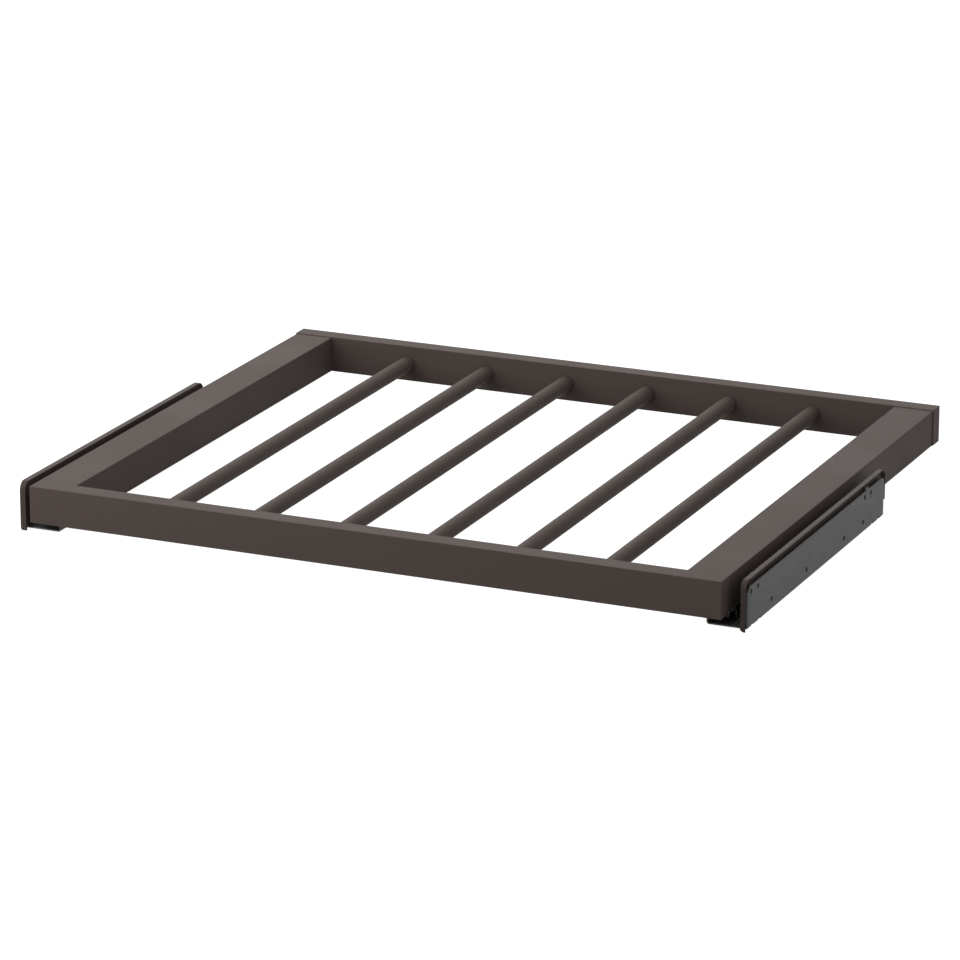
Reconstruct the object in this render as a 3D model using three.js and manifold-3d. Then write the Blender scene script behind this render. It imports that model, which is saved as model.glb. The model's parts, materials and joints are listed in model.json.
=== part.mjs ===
// A pull out trouser rack: a foil covered frame with six rods, carried by two full extension
// ball runners that are screwed to the inner sides of a wardrobe.
// Millimetres. X runs to the right, Y to the rear and Z up. The pieces are laid out from the
// middle of the frame's front face, at the top of its side rails, and the whole rack is then
// moved so that its origin lies at the bottom centre of its box.
import * as THREE from "three";
import { mergeVertices } from "three/addons/utils/BufferGeometryUtils.js";
import Module from "manifold-3d";

const wasm = await Module();
wasm.setup();

// Fits
const SEAM = 0.05; // between two pieces that are pressed together
const FIT_GAP = 0.3; // around a piece that sits in a hole or runs in a channel
const OVERRUN = 2; // how far a cutter stands out of what it cuts

// Frame
const FRAME_WIDTH = 677;
const FRAME_DEPTH = 578;
const RAIL_HEIGHT = 35;
const FRONT_RAIL_THICKNESS = 18.7;
const SIDE_RAIL_WIDTH = 38.8;
const BACK_BOARD_THICKNESS = 18;
const BACK_BOARD_OVERHANG = 1; // past each side rail
const BACK_BOARD_PROUD = 0.8; // above the side rails
const EDGE_ROUNDING = 1;

// Rods
const ROD_COUNT = 6;
const ROD_DIAMETER = 15.5;
const ROD_WALL = 1;
const ROD_MARGIN = 84; // from a side rail to the middle of the nearest rod
const ROD_INSERT = 10; // how far each end goes into its rail

// Fastenings of the frame
const DOWEL_DIAMETER = 8;
const DOWEL_LENGTH = 32;
const DOWEL_CHAMFER = 1;
const DOWEL_IN_FRONT_RAIL = 11;
const CORNER_SPACING = 18; // between the two dowels, or the two screws, of a corner
const FRAME_SCREW_DIAMETER = 6;
const FRAME_SCREW_LENGTH = 50;
const FRAME_SCREW_HEAD_DIAMETER = 10;
const FRAME_SCREW_HEAD_HEIGHT = 3;
const FRAME_SCREW_SOCKET = 4;
const FRAME_SCREW_SOCKET_DEPTH = 2.6;
const SOCKET_SIDES = 6;

// Slide, whose three members nest in one another under the side rail
const SLIDE_SHEET = 1;
const CABINET_MEMBER_WIDTH = 5.8;
const CABINET_MEMBER_HEIGHT = 6.4;
const MEMBER_LIP = 1.2; // the turned in edge of a member's wall
const MEMBER_RISE = 1; // from the bracket up to the walls of the moving members
const BALL_DIAMETER = 1.8;
const BALLS_IN_ROW = 6;
const CAGE_SHEET = 0.6;
const CAGE_MARGIN = 14.2; // left at each end of a cage's run
const SLIDE_TRAVEL = 330; // of the frame
const SLIDE_SETBACK = 15.6; // of its front end from the flange's
const LOCATING_LIP = 3.55; // stands up beside the side rail
const LOCATING_LIP_SETBACK = 13; // behind the frame's front face
const CATCH_LENGTH = 18.6;
const CATCH_REACH = 2;

// Wall bracket
const SIDE_GAP = 12; // from the frame to the runner's cover
const BRACKET_SHEET = 1.2;
const BRACKET_BEND = 2.5;
const PLATE_LENGTH = 353;
const PLATE_HEIGHT = 38.3;
const PLATE_CORNER = 7;
const FLANGE_SETBACK = 1.8; // of the flange's ends from the plate's
const FLANGE_LIP = 6;
const LIP_CLEARANCE = 1.5;
const WALL_HOLE_DIAMETER = 4.8;
const WALL_HOLE_INSET = 5; // from the plate's top edge
const LOWER_HOLE_INSET = 10.6; // from the plate's bottom edge
const PILOT_HOLE_DIAMETER = 1.6;
const PILOT_HOLE_DROP = 3.6;
const HOOK_TAB_WIDTH = 6;
const HOOK_TAB_HEIGHT = 3;
const NOTCH_WIDTH = 7; // of the notches that relieve the plate's lower fold
const NOTCH_HEIGHT = 2.3;

// Cover of the runner
const COVER_SETBACK = 14; // behind the frame's front face
const COVER_WIDTH = 5.2;
const COVER_RECESS = 0.8; // of its outer edge behind the plate's outer face
const COVER_WALL = 1.6;
const COVER_CORNER = 8.5;
const COVER_ROUNDING = 0.9;
const COVER_FOOT_ROUNDING = 4; // of the inner corner of its foot
const COVER_ABOVE_PLATE = 6.8;
const COVER_BEFORE_PLATE = 3.6;
const COVER_BEHIND_PLATE = 4.7;
const COVER_FOOT_DROP = 1.3; // below the flange
const COVER_TAIL = 30.3; // height of the part that wraps the plate's rear end
const COVER_HEM = 2.6; // from the rear end of its web to the plate's
const COVER_RIB_WIDTH = 2;
const COVER_RIB_COUNT = 4;

// Small parts of the runner
const BUFFER_LENGTH = 4.5;
const BUFFER_MARGIN = 0.6;
const BUFFER_CHAMFER = 1;
const RIVET_DIAMETER = 2;
const RIVET_HEAD_HEIGHT = 0.6;
const RAIL_SCREW_DIAMETER = 3.5;
const RAIL_SCREW_LENGTH = 18;
const RAIL_SCREW_HEAD_DIAMETER = 7;
const RAIL_SCREW_HEAD_HEIGHT = 0.7;
const RAIL_SCREW_SLOT_WIDTH = 0.9;
const RAIL_SCREW_SLOT_DEPTH = 0.4;
const RAIL_SCREW_MARGIN = 4; // from the corner dowels to the first screw

// Places along a piece, as shares of its length
const UPPER_HOLE_SHARES = [0.0223, 0.069, 0.849, 0.895];
const PILOT_HOLE_SHARES = [0.0195, 0.892];
const LOWER_HOLE_SHARES = [0.167, 0.416, 0.693, 0.839];
const HOOK_TAB_SHARE = 0.881;
const NOTCH_SHARES = [0.038, 0.085, 0.915, 0.962];
const RIVET_SHARES = [0.06, 0.94];
const CAGE_LEG_SHARE = 0.8; // of a ball, from its middle to the cage's lower edge
const SCREW_POINT_SHARE = 0.7; // of a screw's diameter, the length of its point

// Smoothness of round stretches
const ROD_SIDES = 24;
const SCREW_SIDES = 12;
const BALL_SIDES = 6;
const BALL_RINGS = 4;
const BEND_STEPS = 3;
const CORNER_STEPS = 6;

// Levels and places that follow from the sizes above
const frontRailBack = FRONT_RAIL_THICKNESS;
const backBoardFront = FRAME_DEPTH - BACK_BOARD_THICKNESS;
const railMiddle = -RAIL_HEIGHT / 2;
const webGap = CAGE_SHEET + 2 * FIT_GAP;
const ballGap = BALL_DIAMETER + 2 * FIT_GAP;
const slideHeight = CABINET_MEMBER_HEIGHT + 2 * (webGap + SLIDE_SHEET + SEAM);
const flangeTop = -RAIL_HEIGHT - slideHeight;
const flangeBottom = flangeTop - BRACKET_SHEET;
const plateTop = flangeBottom + PLATE_HEIGHT;
const plateFront = COVER_SETBACK + COVER_BEFORE_PLATE;
const plateRear = plateFront + PLATE_LENGTH;
const flangeFront = plateFront + FLANGE_SETBACK;
const flangeRear = plateRear - FLANGE_SETBACK;
const bufferRear = flangeRear - BUFFER_MARGIN;
const memberFront = flangeFront + SLIDE_SETBACK;
const memberRear = bufferRear - BUFFER_LENGTH - FIT_GAP;
const memberLength = memberRear - memberFront;
const cageLength = memberLength - SLIDE_TRAVEL / 2 - 2 * CAGE_MARGIN;
const cageFront = memberFront + CAGE_MARGIN + SLIDE_TRAVEL / 4;
const coverTop = plateTop + COVER_ABOVE_PLATE;
const coverBottom = flangeBottom - COVER_FOOT_DROP;
const coverRear = plateRear + COVER_BEHIND_PLATE;

// Places across a runner, measured outwards from the frame's side
const plateOuter = SIDE_GAP + COVER_WIDTH + COVER_RECESS;
const plateInner = plateOuter - BRACKET_SHEET;
const middleMemberWidth = CABINET_MEMBER_WIDTH + 2 * (ballGap + SLIDE_SHEET);
const drawerMemberWidth = middleMemberWidth + 2 * (ballGap + SLIDE_SHEET);
const drawerMemberOuter = FIT_GAP + SLIDE_SHEET;
const slideMiddle = drawerMemberOuter - drawerMemberWidth / 2;
const flangeInner = drawerMemberOuter - drawerMemberWidth - LIP_CLEARANCE - BRACKET_SHEET;

// Levels of the slide's webs
const cabinetMemberBottom = flangeTop + SEAM;
const cabinetMemberTop = cabinetMemberBottom + CABINET_MEMBER_HEIGHT;
const middleMemberTop = cabinetMemberTop + webGap + SLIDE_SHEET;
const drawerMemberTop = middleMemberTop + webGap + SLIDE_SHEET;
const wallBottom = flangeTop + MEMBER_RISE;
const cageBottom = wallBottom + SLIDE_SHEET + FIT_GAP;
const ballLevel = cageBottom + BALL_DIAMETER * CAGE_LEG_SHARE;

// Materials
const railFoil = () =>
  new THREE.MeshStandardMaterial({ color: 0x5c5350, roughness: 0.55, metalness: 0 });
const rodLacquer = () =>
  new THREE.MeshStandardMaterial({ color: 0x554b47, roughness: 0.4, metalness: 0.2 });
const coverPlastic = () =>
  new THREE.MeshStandardMaterial({ color: 0x5a504d, roughness: 0.5, metalness: 0 });
const bracketSteel = () =>
  new THREE.MeshStandardMaterial({ color: 0x6b6b6b, roughness: 0.5, metalness: 0.6 });
const zincSteel = () =>
  new THREE.MeshStandardMaterial({ color: 0x9c9b98, roughness: 0.35, metalness: 0.8 });
const ballSteel = () =>
  new THREE.MeshStandardMaterial({ color: 0xb5b5b2, roughness: 0.25, metalness: 0.9 });
const beech = () =>
  new THREE.MeshStandardMaterial({ color: 0xc9a26f, roughness: 0.7, metalness: 0 });
const bufferRubber = () =>
  new THREE.MeshStandardMaterial({ color: 0x2b2927, roughness: 0.8, metalness: 0 });

// Turns a geometry into a solid that can be joined and cut.
function solidOf(geometry) {
  const bare = geometry.clone();
  bare.deleteAttribute("normal");
  bare.deleteAttribute("uv");
  const merged = mergeVertices(bare);
  return new wasm.Manifold(
    new wasm.Mesh({
      numProp: 3,
      vertProperties: new Float32Array(merged.attributes.position.array),
      triVerts: new Uint32Array(merged.index.array),
    }),
  );
}

// Turns a solid back into a geometry.
function geometryOf(solid) {
  const mesh = solid.getMesh();
  const geometry = new THREE.BufferGeometry();
  geometry.setAttribute("position", new THREE.BufferAttribute(mesh.vertProperties, 3));
  geometry.setIndex(new THREE.BufferAttribute(mesh.triVerts, 1));
  const faceted = geometry.toNonIndexed();
  faceted.computeVertexNormals();
  return faceted;
}

const joined = (geometry, others) =>
  geometryOf(others.reduce((sum, other) => sum.add(solidOf(other)), solidOf(geometry)));
const cut = (geometry, cutters) =>
  geometryOf(cutters.reduce((rest, cutter) => rest.subtract(solidOf(cutter)), solidOf(geometry)));
const common = (geometry, others) =>
  geometryOf(others.reduce((rest, other) => rest.intersect(solidOf(other)), solidOf(geometry)));

// A box between two corners.
function block([x0, x1], [y0, y1], [z0, z1]) {
  const box = new THREE.BoxGeometry(x1 - x0, y1 - y0, z1 - z0);
  return box.translate((x0 + x1) / 2, (y0 + y1) / 2, (z0 + z1) / 2);
}

// Carries an outline drawn in Y and Z along X.
function alongX(shape, [x0, x1]) {
  const geometry = new THREE.ExtrudeGeometry(shape, { depth: x1 - x0, bevelEnabled: false });
  const turn = new THREE.Matrix4().makeBasis(
    new THREE.Vector3(0, 1, 0),
    new THREE.Vector3(0, 0, 1),
    new THREE.Vector3(1, 0, 0),
  );
  return geometry.applyMatrix4(turn).translate(x0, 0, 0);
}

// Carries an outline drawn in X and Z along Y.
function alongY(shape, [y0, y1]) {
  const geometry = new THREE.ExtrudeGeometry(shape, { depth: y1 - y0, bevelEnabled: false });
  const turn = new THREE.Matrix4().makeBasis(
    new THREE.Vector3(1, 0, 0),
    new THREE.Vector3(0, 0, 1),
    new THREE.Vector3(0, -1, 0),
  );
  return geometry.applyMatrix4(turn).translate(0, y1, 0);
}

// Carries an outline drawn in X and Y along Z.
function alongZ(shape, [z0, z1]) {
  const geometry = new THREE.ExtrudeGeometry(shape, { depth: z1 - z0, bevelEnabled: false });
  return geometry.translate(0, 0, z0);
}

const point = (x, y) => new THREE.Vector2(x, y);

// Rounds the inner corners of a path with arcs of one radius.
function roundedPath(path, radius, steps) {
  const out = [path[0]];
  for (let i = 1; i < path.length - 1; i += 1) {
    const back = path[i - 1].clone().sub(path[i]).normalize();
    const ahead = path[i + 1].clone().sub(path[i]).normalize();
    const half = Math.acos(back.dot(ahead)) / 2;
    const middle = back.clone().add(ahead).normalize();
    const centre = path[i].clone().addScaledVector(middle, radius / Math.sin(half));
    const start = path[i].clone().addScaledVector(back, radius / Math.tan(half));
    const sweep = (Math.PI - 2 * half) * Math.sign(ahead.cross(back));
    for (let k = 0; k <= steps; k += 1) {
      out.push(start.clone().rotateAround(centre, (sweep * k) / steps));
    }
  }
  out.push(path[path.length - 1]);
  return out;
}

// The section of a folded sheet: the path of its outer face, and the same path moved to its
// left by the sheet's thickness, with mitred corners.
function sheetSection(path, sheet) {
  const moved = path.map((at, i) => {
    const before = (path[i - 1] ? at.clone().sub(path[i - 1]) : path[i + 1].clone().sub(at)).normalize();
    const after = (path[i + 1] ? path[i + 1].clone().sub(at) : before.clone()).normalize();
    const mitre = before.clone().add(after).normalize();
    const side = point(-mitre.y, mitre.x);
    return at.clone().addScaledVector(side, sheet / mitre.dot(before));
  });
  return new THREE.Shape([...path, ...moved.reverse()]);
}

// A rectangle with round corners.
function roundedRectangle([x0, x1], [y0, y1], radius) {
  const shape = new THREE.Shape();
  const corner = (x, y, start) =>
    shape.absarc(x, y, radius, start, start + Math.PI / 2, false);
  shape.moveTo(x1, y0 + radius);
  corner(x1 - radius, y1 - radius, 0);
  corner(x0 + radius, y1 - radius, Math.PI / 2);
  corner(x0 + radius, y0 + radius, Math.PI);
  corner(x1 - radius, y0 + radius, -Math.PI / 2);
  return new THREE.Shape(shape.getPoints(BEND_STEPS));
}

// A round bar along Y between two places.
function barAlongY(diameter, [y0, y1], sides) {
  const bar = new THREE.CylinderGeometry(diameter / 2, diameter / 2, y1 - y0, sides);
  return bar.translate(0, (y0 + y1) / 2, 0);
}

const piece = (name, geometry, material) => {
  const mesh = new THREE.Mesh(geometry, material);
  mesh.name = name;
  return mesh;
};

// Places of the frame's repeated pieces
const rodReach = FRAME_WIDTH / 2 - SIDE_RAIL_WIDTH - ROD_MARGIN;
const rodPlaces = Array.from(
  { length: ROD_COUNT },
  (_, i) => ((2 * i) / (ROD_COUNT - 1) - 1) * rodReach,
);
const railPlace = (FRAME_WIDTH - SIDE_RAIL_WIDTH) / 2;
const cornerPlaces = [-1, 1].flatMap((side) =>
  [-1, 1].map((step) => side * railPlace + (step * CORNER_SPACING) / 2),
);
const rodFront = frontRailBack - ROD_INSERT;
const rodRear = backBoardFront + ROD_INSERT;
const dowelFront = frontRailBack - DOWEL_IN_FRONT_RAIL;
const dowelRear = dowelFront + DOWEL_LENGTH;
const frameScrewPoint = FRAME_DEPTH - FRAME_SCREW_LENGTH;
const firstRailScrew = Math.max(dowelRear, memberFront) + RAIL_SCREW_MARGIN;
const railScrewPlaces = [
  firstRailScrew,
  (firstRailScrew + cageFront) / 2,
  memberRear - CAGE_MARGIN / 2,
];

// A hole along Y for a bar of a given diameter.
const holeAlongY = (x, z, diameter, range, sides) =>
  barAlongY(diameter + 2 * FIT_GAP, range, sides).translate(x, 0, z);

const rodHoles = () =>
  rodPlaces.map((x) => holeAlongY(x, railMiddle, ROD_DIAMETER, [rodFront, rodRear], ROD_SIDES));
const dowelHoles = () =>
  cornerPlaces.map((x) =>
    holeAlongY(x, railMiddle, DOWEL_DIAMETER, [dowelFront - SEAM, dowelRear + SEAM], SCREW_SIDES),
  );
const frameScrewHoles = () =>
  cornerPlaces.map((x) =>
    holeAlongY(
      x,
      railMiddle,
      FRAME_SCREW_DIAMETER,
      [frameScrewPoint - FIT_GAP, FRAME_DEPTH + OVERRUN],
      SCREW_SIDES,
    ),
  );
const frameScrewSeats = () =>
  cornerPlaces.map((x) =>
    holeAlongY(
      x,
      railMiddle,
      FRAME_SCREW_HEAD_DIAMETER,
      [FRAME_DEPTH - FRAME_SCREW_HEAD_HEIGHT - FIT_GAP, FRAME_DEPTH + OVERRUN],
      SCREW_SIDES,
    ),
  );

// A board with rounded front and end edges, made as the space that three outlines share.
function roundedBoard(x, y, z, squareBack) {
  const back = squareBack ? y[1] + OVERRUN : y[1];
  return common(alongX(roundedRectangle([y[0], back], z, EDGE_ROUNDING), x), [
    alongY(roundedRectangle(x, z, EDGE_ROUNDING), y),
    alongZ(roundedRectangle(x, [y[0], back], EDGE_ROUNDING), z),
  ]);
}

function frontRail() {
  const width = [-FRAME_WIDTH / 2, FRAME_WIDTH / 2];
  const board = roundedBoard(width, [0, FRONT_RAIL_THICKNESS - SEAM], [-RAIL_HEIGHT, 0], true);
  return piece("front_rail", cut(board, [...rodHoles(), ...dowelHoles()]), railFoil());
}

function backBoard() {
  const half = FRAME_WIDTH / 2 + BACK_BOARD_OVERHANG;
  const board = roundedBoard(
    [-half, half],
    [backBoardFront, FRAME_DEPTH],
    [-RAIL_HEIGHT, BACK_BOARD_PROUD],
    false,
  );
  const cutters = [...rodHoles(), ...frameScrewHoles(), ...frameScrewSeats()];
  return piece("back_board", cut(board, cutters), railFoil());
}

// One side rail; side is 1 for the right one and -1 for the left one.
function sideRail(name, side) {
  const x = [side * railPlace - SIDE_RAIL_WIDTH / 2, side * railPlace + SIDE_RAIL_WIDTH / 2];
  const outline = roundedRectangle(x, [-RAIL_HEIGHT, 0], EDGE_ROUNDING);
  const rail = alongY(outline, [frontRailBack, backBoardFront - SEAM]);
  const screwX = side * (FRAME_WIDTH / 2 + slideMiddle);
  const screwHoles = railScrewPlaces.map((y) =>
    new THREE.CylinderGeometry(
      RAIL_SCREW_DIAMETER / 2 + FIT_GAP,
      RAIL_SCREW_DIAMETER / 2 + FIT_GAP,
      2 * RAIL_SCREW_LENGTH,
      SCREW_SIDES,
    )
      .rotateX(Math.PI / 2)
      .translate(screwX, y, -RAIL_HEIGHT),
  );
  return piece(name, cut(rail, [...dowelHoles(), ...frameScrewHoles(), ...screwHoles]), railFoil());
}

// A tube, drawn as the closed section of its wall turned about the Y axis.
function trouserRod(number, x) {
  const outer = ROD_DIAMETER / 2;
  const inner = outer - ROD_WALL;
  const ends = [rodFront + SEAM, rodRear - SEAM];
  const section = [
    point(inner, ends[0]),
    point(outer, ends[0]),
    point(outer, ends[1]),
    point(inner, ends[1]),
    point(inner, ends[0]),
  ];
  const rod = piece("trouser_rod_" + number, new THREE.LatheGeometry(section, ROD_SIDES), rodLacquer());
  rod.position.set(x, 0, railMiddle);
  return rod;
}

// A solid turned about the Y axis from points given as radius and height.
const turned = (points) =>
  new THREE.LatheGeometry(
    points.map(([radius, height]) => point(radius, height)),
    SCREW_SIDES,
  );

function cornerDowel(name, x) {
  const radius = DOWEL_DIAMETER / 2;
  const dowel = turned([
    [0, dowelFront],
    [radius - DOWEL_CHAMFER, dowelFront],
    [radius, dowelFront + DOWEL_CHAMFER],
    [radius, dowelRear - DOWEL_CHAMFER],
    [radius - DOWEL_CHAMFER, dowelRear],
    [0, dowelRear],
  ]);
  const mesh = piece(name, dowel, beech());
  mesh.position.set(x, 0, railMiddle);
  return mesh;
}

// A screw with a flat head and a hexagon socket, driven from behind.
function frameScrew(name, x) {
  const shank = FRAME_SCREW_DIAMETER / 2;
  const headFront = FRAME_DEPTH - FRAME_SCREW_HEAD_HEIGHT;
  const body = turned([
    [0, frameScrewPoint],
    [shank, frameScrewPoint + FRAME_SCREW_DIAMETER * SCREW_POINT_SHARE],
    [shank, headFront],
    [FRAME_SCREW_HEAD_DIAMETER / 2, headFront],
    [FRAME_SCREW_HEAD_DIAMETER / 2, FRAME_DEPTH],
    [0, FRAME_DEPTH],
  ]);
  const socket = barAlongY(
    FRAME_SCREW_SOCKET / Math.cos(Math.PI / SOCKET_SIDES),
    [FRAME_DEPTH - FRAME_SCREW_SOCKET_DEPTH, FRAME_DEPTH + OVERRUN],
    SOCKET_SIDES,
  );
  const mesh = piece(name, cut(body, [socket]), zincSteel());
  mesh.position.set(x, 0, railMiddle);
  return mesh;
}

// The frame, with its rods, dowels and screws
function frame() {
  const group = new THREE.Group();
  group.add(frontRail(), backBoard(), sideRail("left_side_rail", -1), sideRail("right_side_rail", 1));
  rodPlaces.forEach((x, i) => group.add(trouserRod(i + 1, x)));
  cornerPlaces.forEach((x, i) => {
    const corner = x < 0 ? "left" : "right";
    const number = (i % 2) + 1;
    group.add(cornerDowel(corner + "_corner_dowel_" + number, x));
    group.add(frameScrew(corner + "_frame_screw_" + number, x));
  });
  return group;
}

// The pieces of a runner are drawn for the right side, with X measured from the frame's side.

// The folded section of the wall bracket: plate, flange and turned up lip.
function bracketFold() {
  const path = [
    point(flangeInner, flangeBottom + FLANGE_LIP),
    point(flangeInner, flangeBottom),
    point(plateOuter, flangeBottom),
    point(plateOuter, plateTop),
  ];
  return alongY(sheetSection(roundedPath(path, BRACKET_BEND, BEND_STEPS), BRACKET_SHEET), [
    plateFront,
    plateRear,
  ]);
}

// A hole through the plate at a share of its length.
const plateHole = (share, level, diameter) =>
  new THREE.CylinderGeometry(diameter / 2, diameter / 2, BRACKET_SHEET + 2 * OVERRUN, SCREW_SIDES)
    .rotateZ(Math.PI / 2)
    .translate(plateOuter - BRACKET_SHEET / 2, plateFront + share * PLATE_LENGTH, level);

function plateHoles() {
  const upper = plateTop - WALL_HOLE_INSET;
  const lower = flangeBottom + LOWER_HOLE_INSET;
  return [
    ...UPPER_HOLE_SHARES.map((share) => plateHole(share, upper, WALL_HOLE_DIAMETER)),
    ...LOWER_HOLE_SHARES.map((share) => plateHole(share, lower, WALL_HOLE_DIAMETER)),
    ...PILOT_HOLE_SHARES.map((share) => plateHole(share, upper - PILOT_HOLE_DROP, PILOT_HOLE_DIAMETER)),
  ];
}

const rivetPlaces = RIVET_SHARES.map((share) => memberFront + share * memberLength);

const rivetHoles = () =>
  rivetPlaces.map((y) =>
    new THREE.CylinderGeometry(
      RIVET_DIAMETER / 2 + FIT_GAP,
      RIVET_DIAMETER / 2 + FIT_GAP,
      2 * (BRACKET_SHEET + SLIDE_SHEET),
      SCREW_SIDES,
    )
      .rotateX(Math.PI / 2)
      .translate(slideMiddle, y, flangeTop),
  );

// The notches at the flange's ends, where its bend is relieved.
const flangeEnds = () =>
  [
    [plateFront - OVERRUN, flangeFront],
    [flangeRear, plateRear + OVERRUN],
  ].map((range) =>
    block(
      [flangeInner - OVERRUN, plateOuter + OVERRUN],
      range,
      [flangeBottom - OVERRUN, flangeBottom + BRACKET_BEND],
    ),
  );

// The notches along the plate's lower fold, which cut through the fold and the flange beside it.
const foldNotches = () =>
  NOTCH_SHARES.map((share) => {
    const y = plateFront + share * PLATE_LENGTH;
    return block(
      [plateOuter - 2 * BRACKET_BEND, plateOuter + OVERRUN],
      [y - NOTCH_WIDTH / 2, y + NOTCH_WIDTH / 2],
      [flangeBottom - OVERRUN, flangeBottom + NOTCH_HEIGHT],
    );
  });

function wallBracket(name) {
  const corners = alongX(
    roundedRectangle([plateFront, plateRear], [flangeBottom - PLATE_CORNER, plateTop], PLATE_CORNER),
    [flangeInner - OVERRUN, plateOuter + OVERRUN],
  );
  const plate = common(bracketFold(), [corners]);
  const y = plateFront + PLATE_CORNER + HOOK_TAB_SHARE * (PLATE_LENGTH - 2 * PLATE_CORNER);
  const tab = block(
    [plateInner, plateOuter],
    [y - HOOK_TAB_WIDTH / 2, y + HOOK_TAB_WIDTH / 2],
    [plateTop - PLATE_CORNER, plateTop + HOOK_TAB_HEIGHT],
  );
  const cutters = [...plateHoles(), ...rivetHoles(), ...flangeEnds(), ...foldNotches()];
  return piece(name, cut(joined(plate, [tab]), cutters), bracketSteel());
}

// The side view of the cover: a foot in front, a web beside the plate and a tail behind it.
function coverOutline() {
  const webRear = plateRear - COVER_HEM;
  const webBottom = flangeTop + FIT_GAP;
  const tailBottom = coverTop - COVER_TAIL;
  const over = roundedPath(
    [
      point(COVER_SETBACK, coverBottom),
      point(COVER_SETBACK, coverTop),
      point(coverRear, coverTop),
      point(coverRear, tailBottom),
    ],
    COVER_CORNER,
    CORNER_STEPS,
  );
  return new THREE.Shape([
    ...over,
    point(webRear, tailBottom),
    point(webRear, webBottom),
    point(COVER_SETBACK + COVER_WALL, webBottom),
    point(COVER_SETBACK + COVER_WALL, coverBottom),
  ].reverse());
}

// The space inside the cover: open towards the wall and at the bottom.
function coverHollow() {
  const front = COVER_SETBACK + COVER_WALL;
  const rear = coverRear - COVER_WALL;
  const top = coverTop - COVER_WALL;
  const bottom = coverBottom - OVERRUN;
  const path = [point(front, bottom), point(front, top), point(rear, top), point(rear, bottom)];
  const outline = new THREE.Shape(roundedPath(path, COVER_CORNER - COVER_WALL, CORNER_STEPS).reverse());
  return alongX(outline, [SIDE_GAP + COVER_WALL, SIDE_GAP + COVER_WIDTH + OVERRUN]);
}

// The ribs that keep the cover's web off the plate.
function coverRibs() {
  const pitch = PLATE_LENGTH / COVER_RIB_COUNT;
  return Array.from({ length: COVER_RIB_COUNT }, (_, i) => {
    const y = plateFront + (i + 0.5) * pitch;
    return block(
      [SIDE_GAP + COVER_WALL / 2, plateInner - FIT_GAP],
      [y - COVER_RIB_WIDTH / 2, y + COVER_RIB_WIDTH / 2],
      [flangeTop + MEMBER_RISE, plateTop - PLATE_CORNER],
    );
  });
}

// The cover seen from the front: round upper edges, and a foot whose inner corner is rounder.
function coverEdges(width) {
  const range = [COVER_SETBACK - OVERRUN, coverRear + OVERRUN];
  const upper = roundedRectangle(width, [coverBottom - COVER_ROUNDING, coverTop], COVER_ROUNDING);
  const foot = roundedRectangle(
    [width[0], width[1] + COVER_FOOT_ROUNDING],
    [coverBottom, coverTop + COVER_FOOT_ROUNDING],
    COVER_FOOT_ROUNDING,
  );
  return [alongY(upper, range), alongY(foot, range)];
}

function runnerCover(name) {
  const width = [SIDE_GAP, SIDE_GAP + COVER_WIDTH];
  const skin = cut(common(alongX(coverOutline(), width), coverEdges(width)), [coverHollow()]);
  return piece(name, joined(skin, coverRibs()), coverPlastic());
}

// The fixed member: a channel that stands open on the flange.
function cabinetMember(name) {
  const x0 = slideMiddle - CABINET_MEMBER_WIDTH / 2;
  const x1 = slideMiddle + CABINET_MEMBER_WIDTH / 2;
  const path = [
    point(x0, cabinetMemberTop),
    point(x0, cabinetMemberBottom),
    point(x1, cabinetMemberBottom),
    point(x1, cabinetMemberTop),
  ];
  const channel = alongY(sheetSection(path, SLIDE_SHEET), [memberFront, memberRear]);
  return piece(name, cut(channel, rivetHoles()), zincSteel());
}

// The section of a moving member: a channel that hangs open, with turned in lower edges.
function hangingChannel(width, top) {
  const x0 = slideMiddle - width / 2;
  const x1 = slideMiddle + width / 2;
  const lip = SLIDE_SHEET + MEMBER_LIP;
  const path = [
    point(x1 - lip, wallBottom),
    point(x1, wallBottom),
    point(x1, top),
    point(x0, top),
    point(x0, wallBottom),
    point(x0 + lip, wallBottom),
  ];
  return alongY(sheetSection(path, SLIDE_SHEET), [memberFront, memberRear]);
}

const middleMember = (name) =>
  piece(name, hangingChannel(middleMemberWidth, middleMemberTop), zincSteel());

// The plan of the lip beside the side rail, with a rounded catch at its front end.
function locatingLip() {
  const inner = drawerMemberOuter - SLIDE_SHEET;
  const outer = drawerMemberOuter;
  const front = LOCATING_LIP_SETBACK;
  const plan = new THREE.Shape();
  plan.moveTo(inner, front);
  plan.lineTo(outer, front);
  plan.bezierCurveTo(
    outer + CATCH_REACH,
    front,
    outer + 2 * CATCH_REACH,
    front + CATCH_LENGTH / 2,
    outer,
    front + CATCH_LENGTH,
  );
  plan.lineTo(outer, memberRear);
  plan.lineTo(inner, memberRear);
  return alongZ(new THREE.Shape(plan.getPoints(CORNER_STEPS)), [
    drawerMemberTop - SLIDE_SHEET,
    drawerMemberTop + LOCATING_LIP,
  ]);
}

function drawerMember(name) {
  const channel = hangingChannel(drawerMemberWidth, drawerMemberTop);
  const holes = railScrewPlaces.map((y) =>
    new THREE.CylinderGeometry(
      RAIL_SCREW_DIAMETER / 2 + FIT_GAP,
      RAIL_SCREW_DIAMETER / 2 + FIT_GAP,
      2 * (SLIDE_SHEET + SEAM),
      SCREW_SIDES,
    )
      .rotateX(Math.PI / 2)
      .translate(slideMiddle, y, drawerMemberTop - SLIDE_SHEET / 2),
  );
  return piece(name, cut(joined(channel, [locatingLip()]), holes), zincSteel());
}

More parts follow.
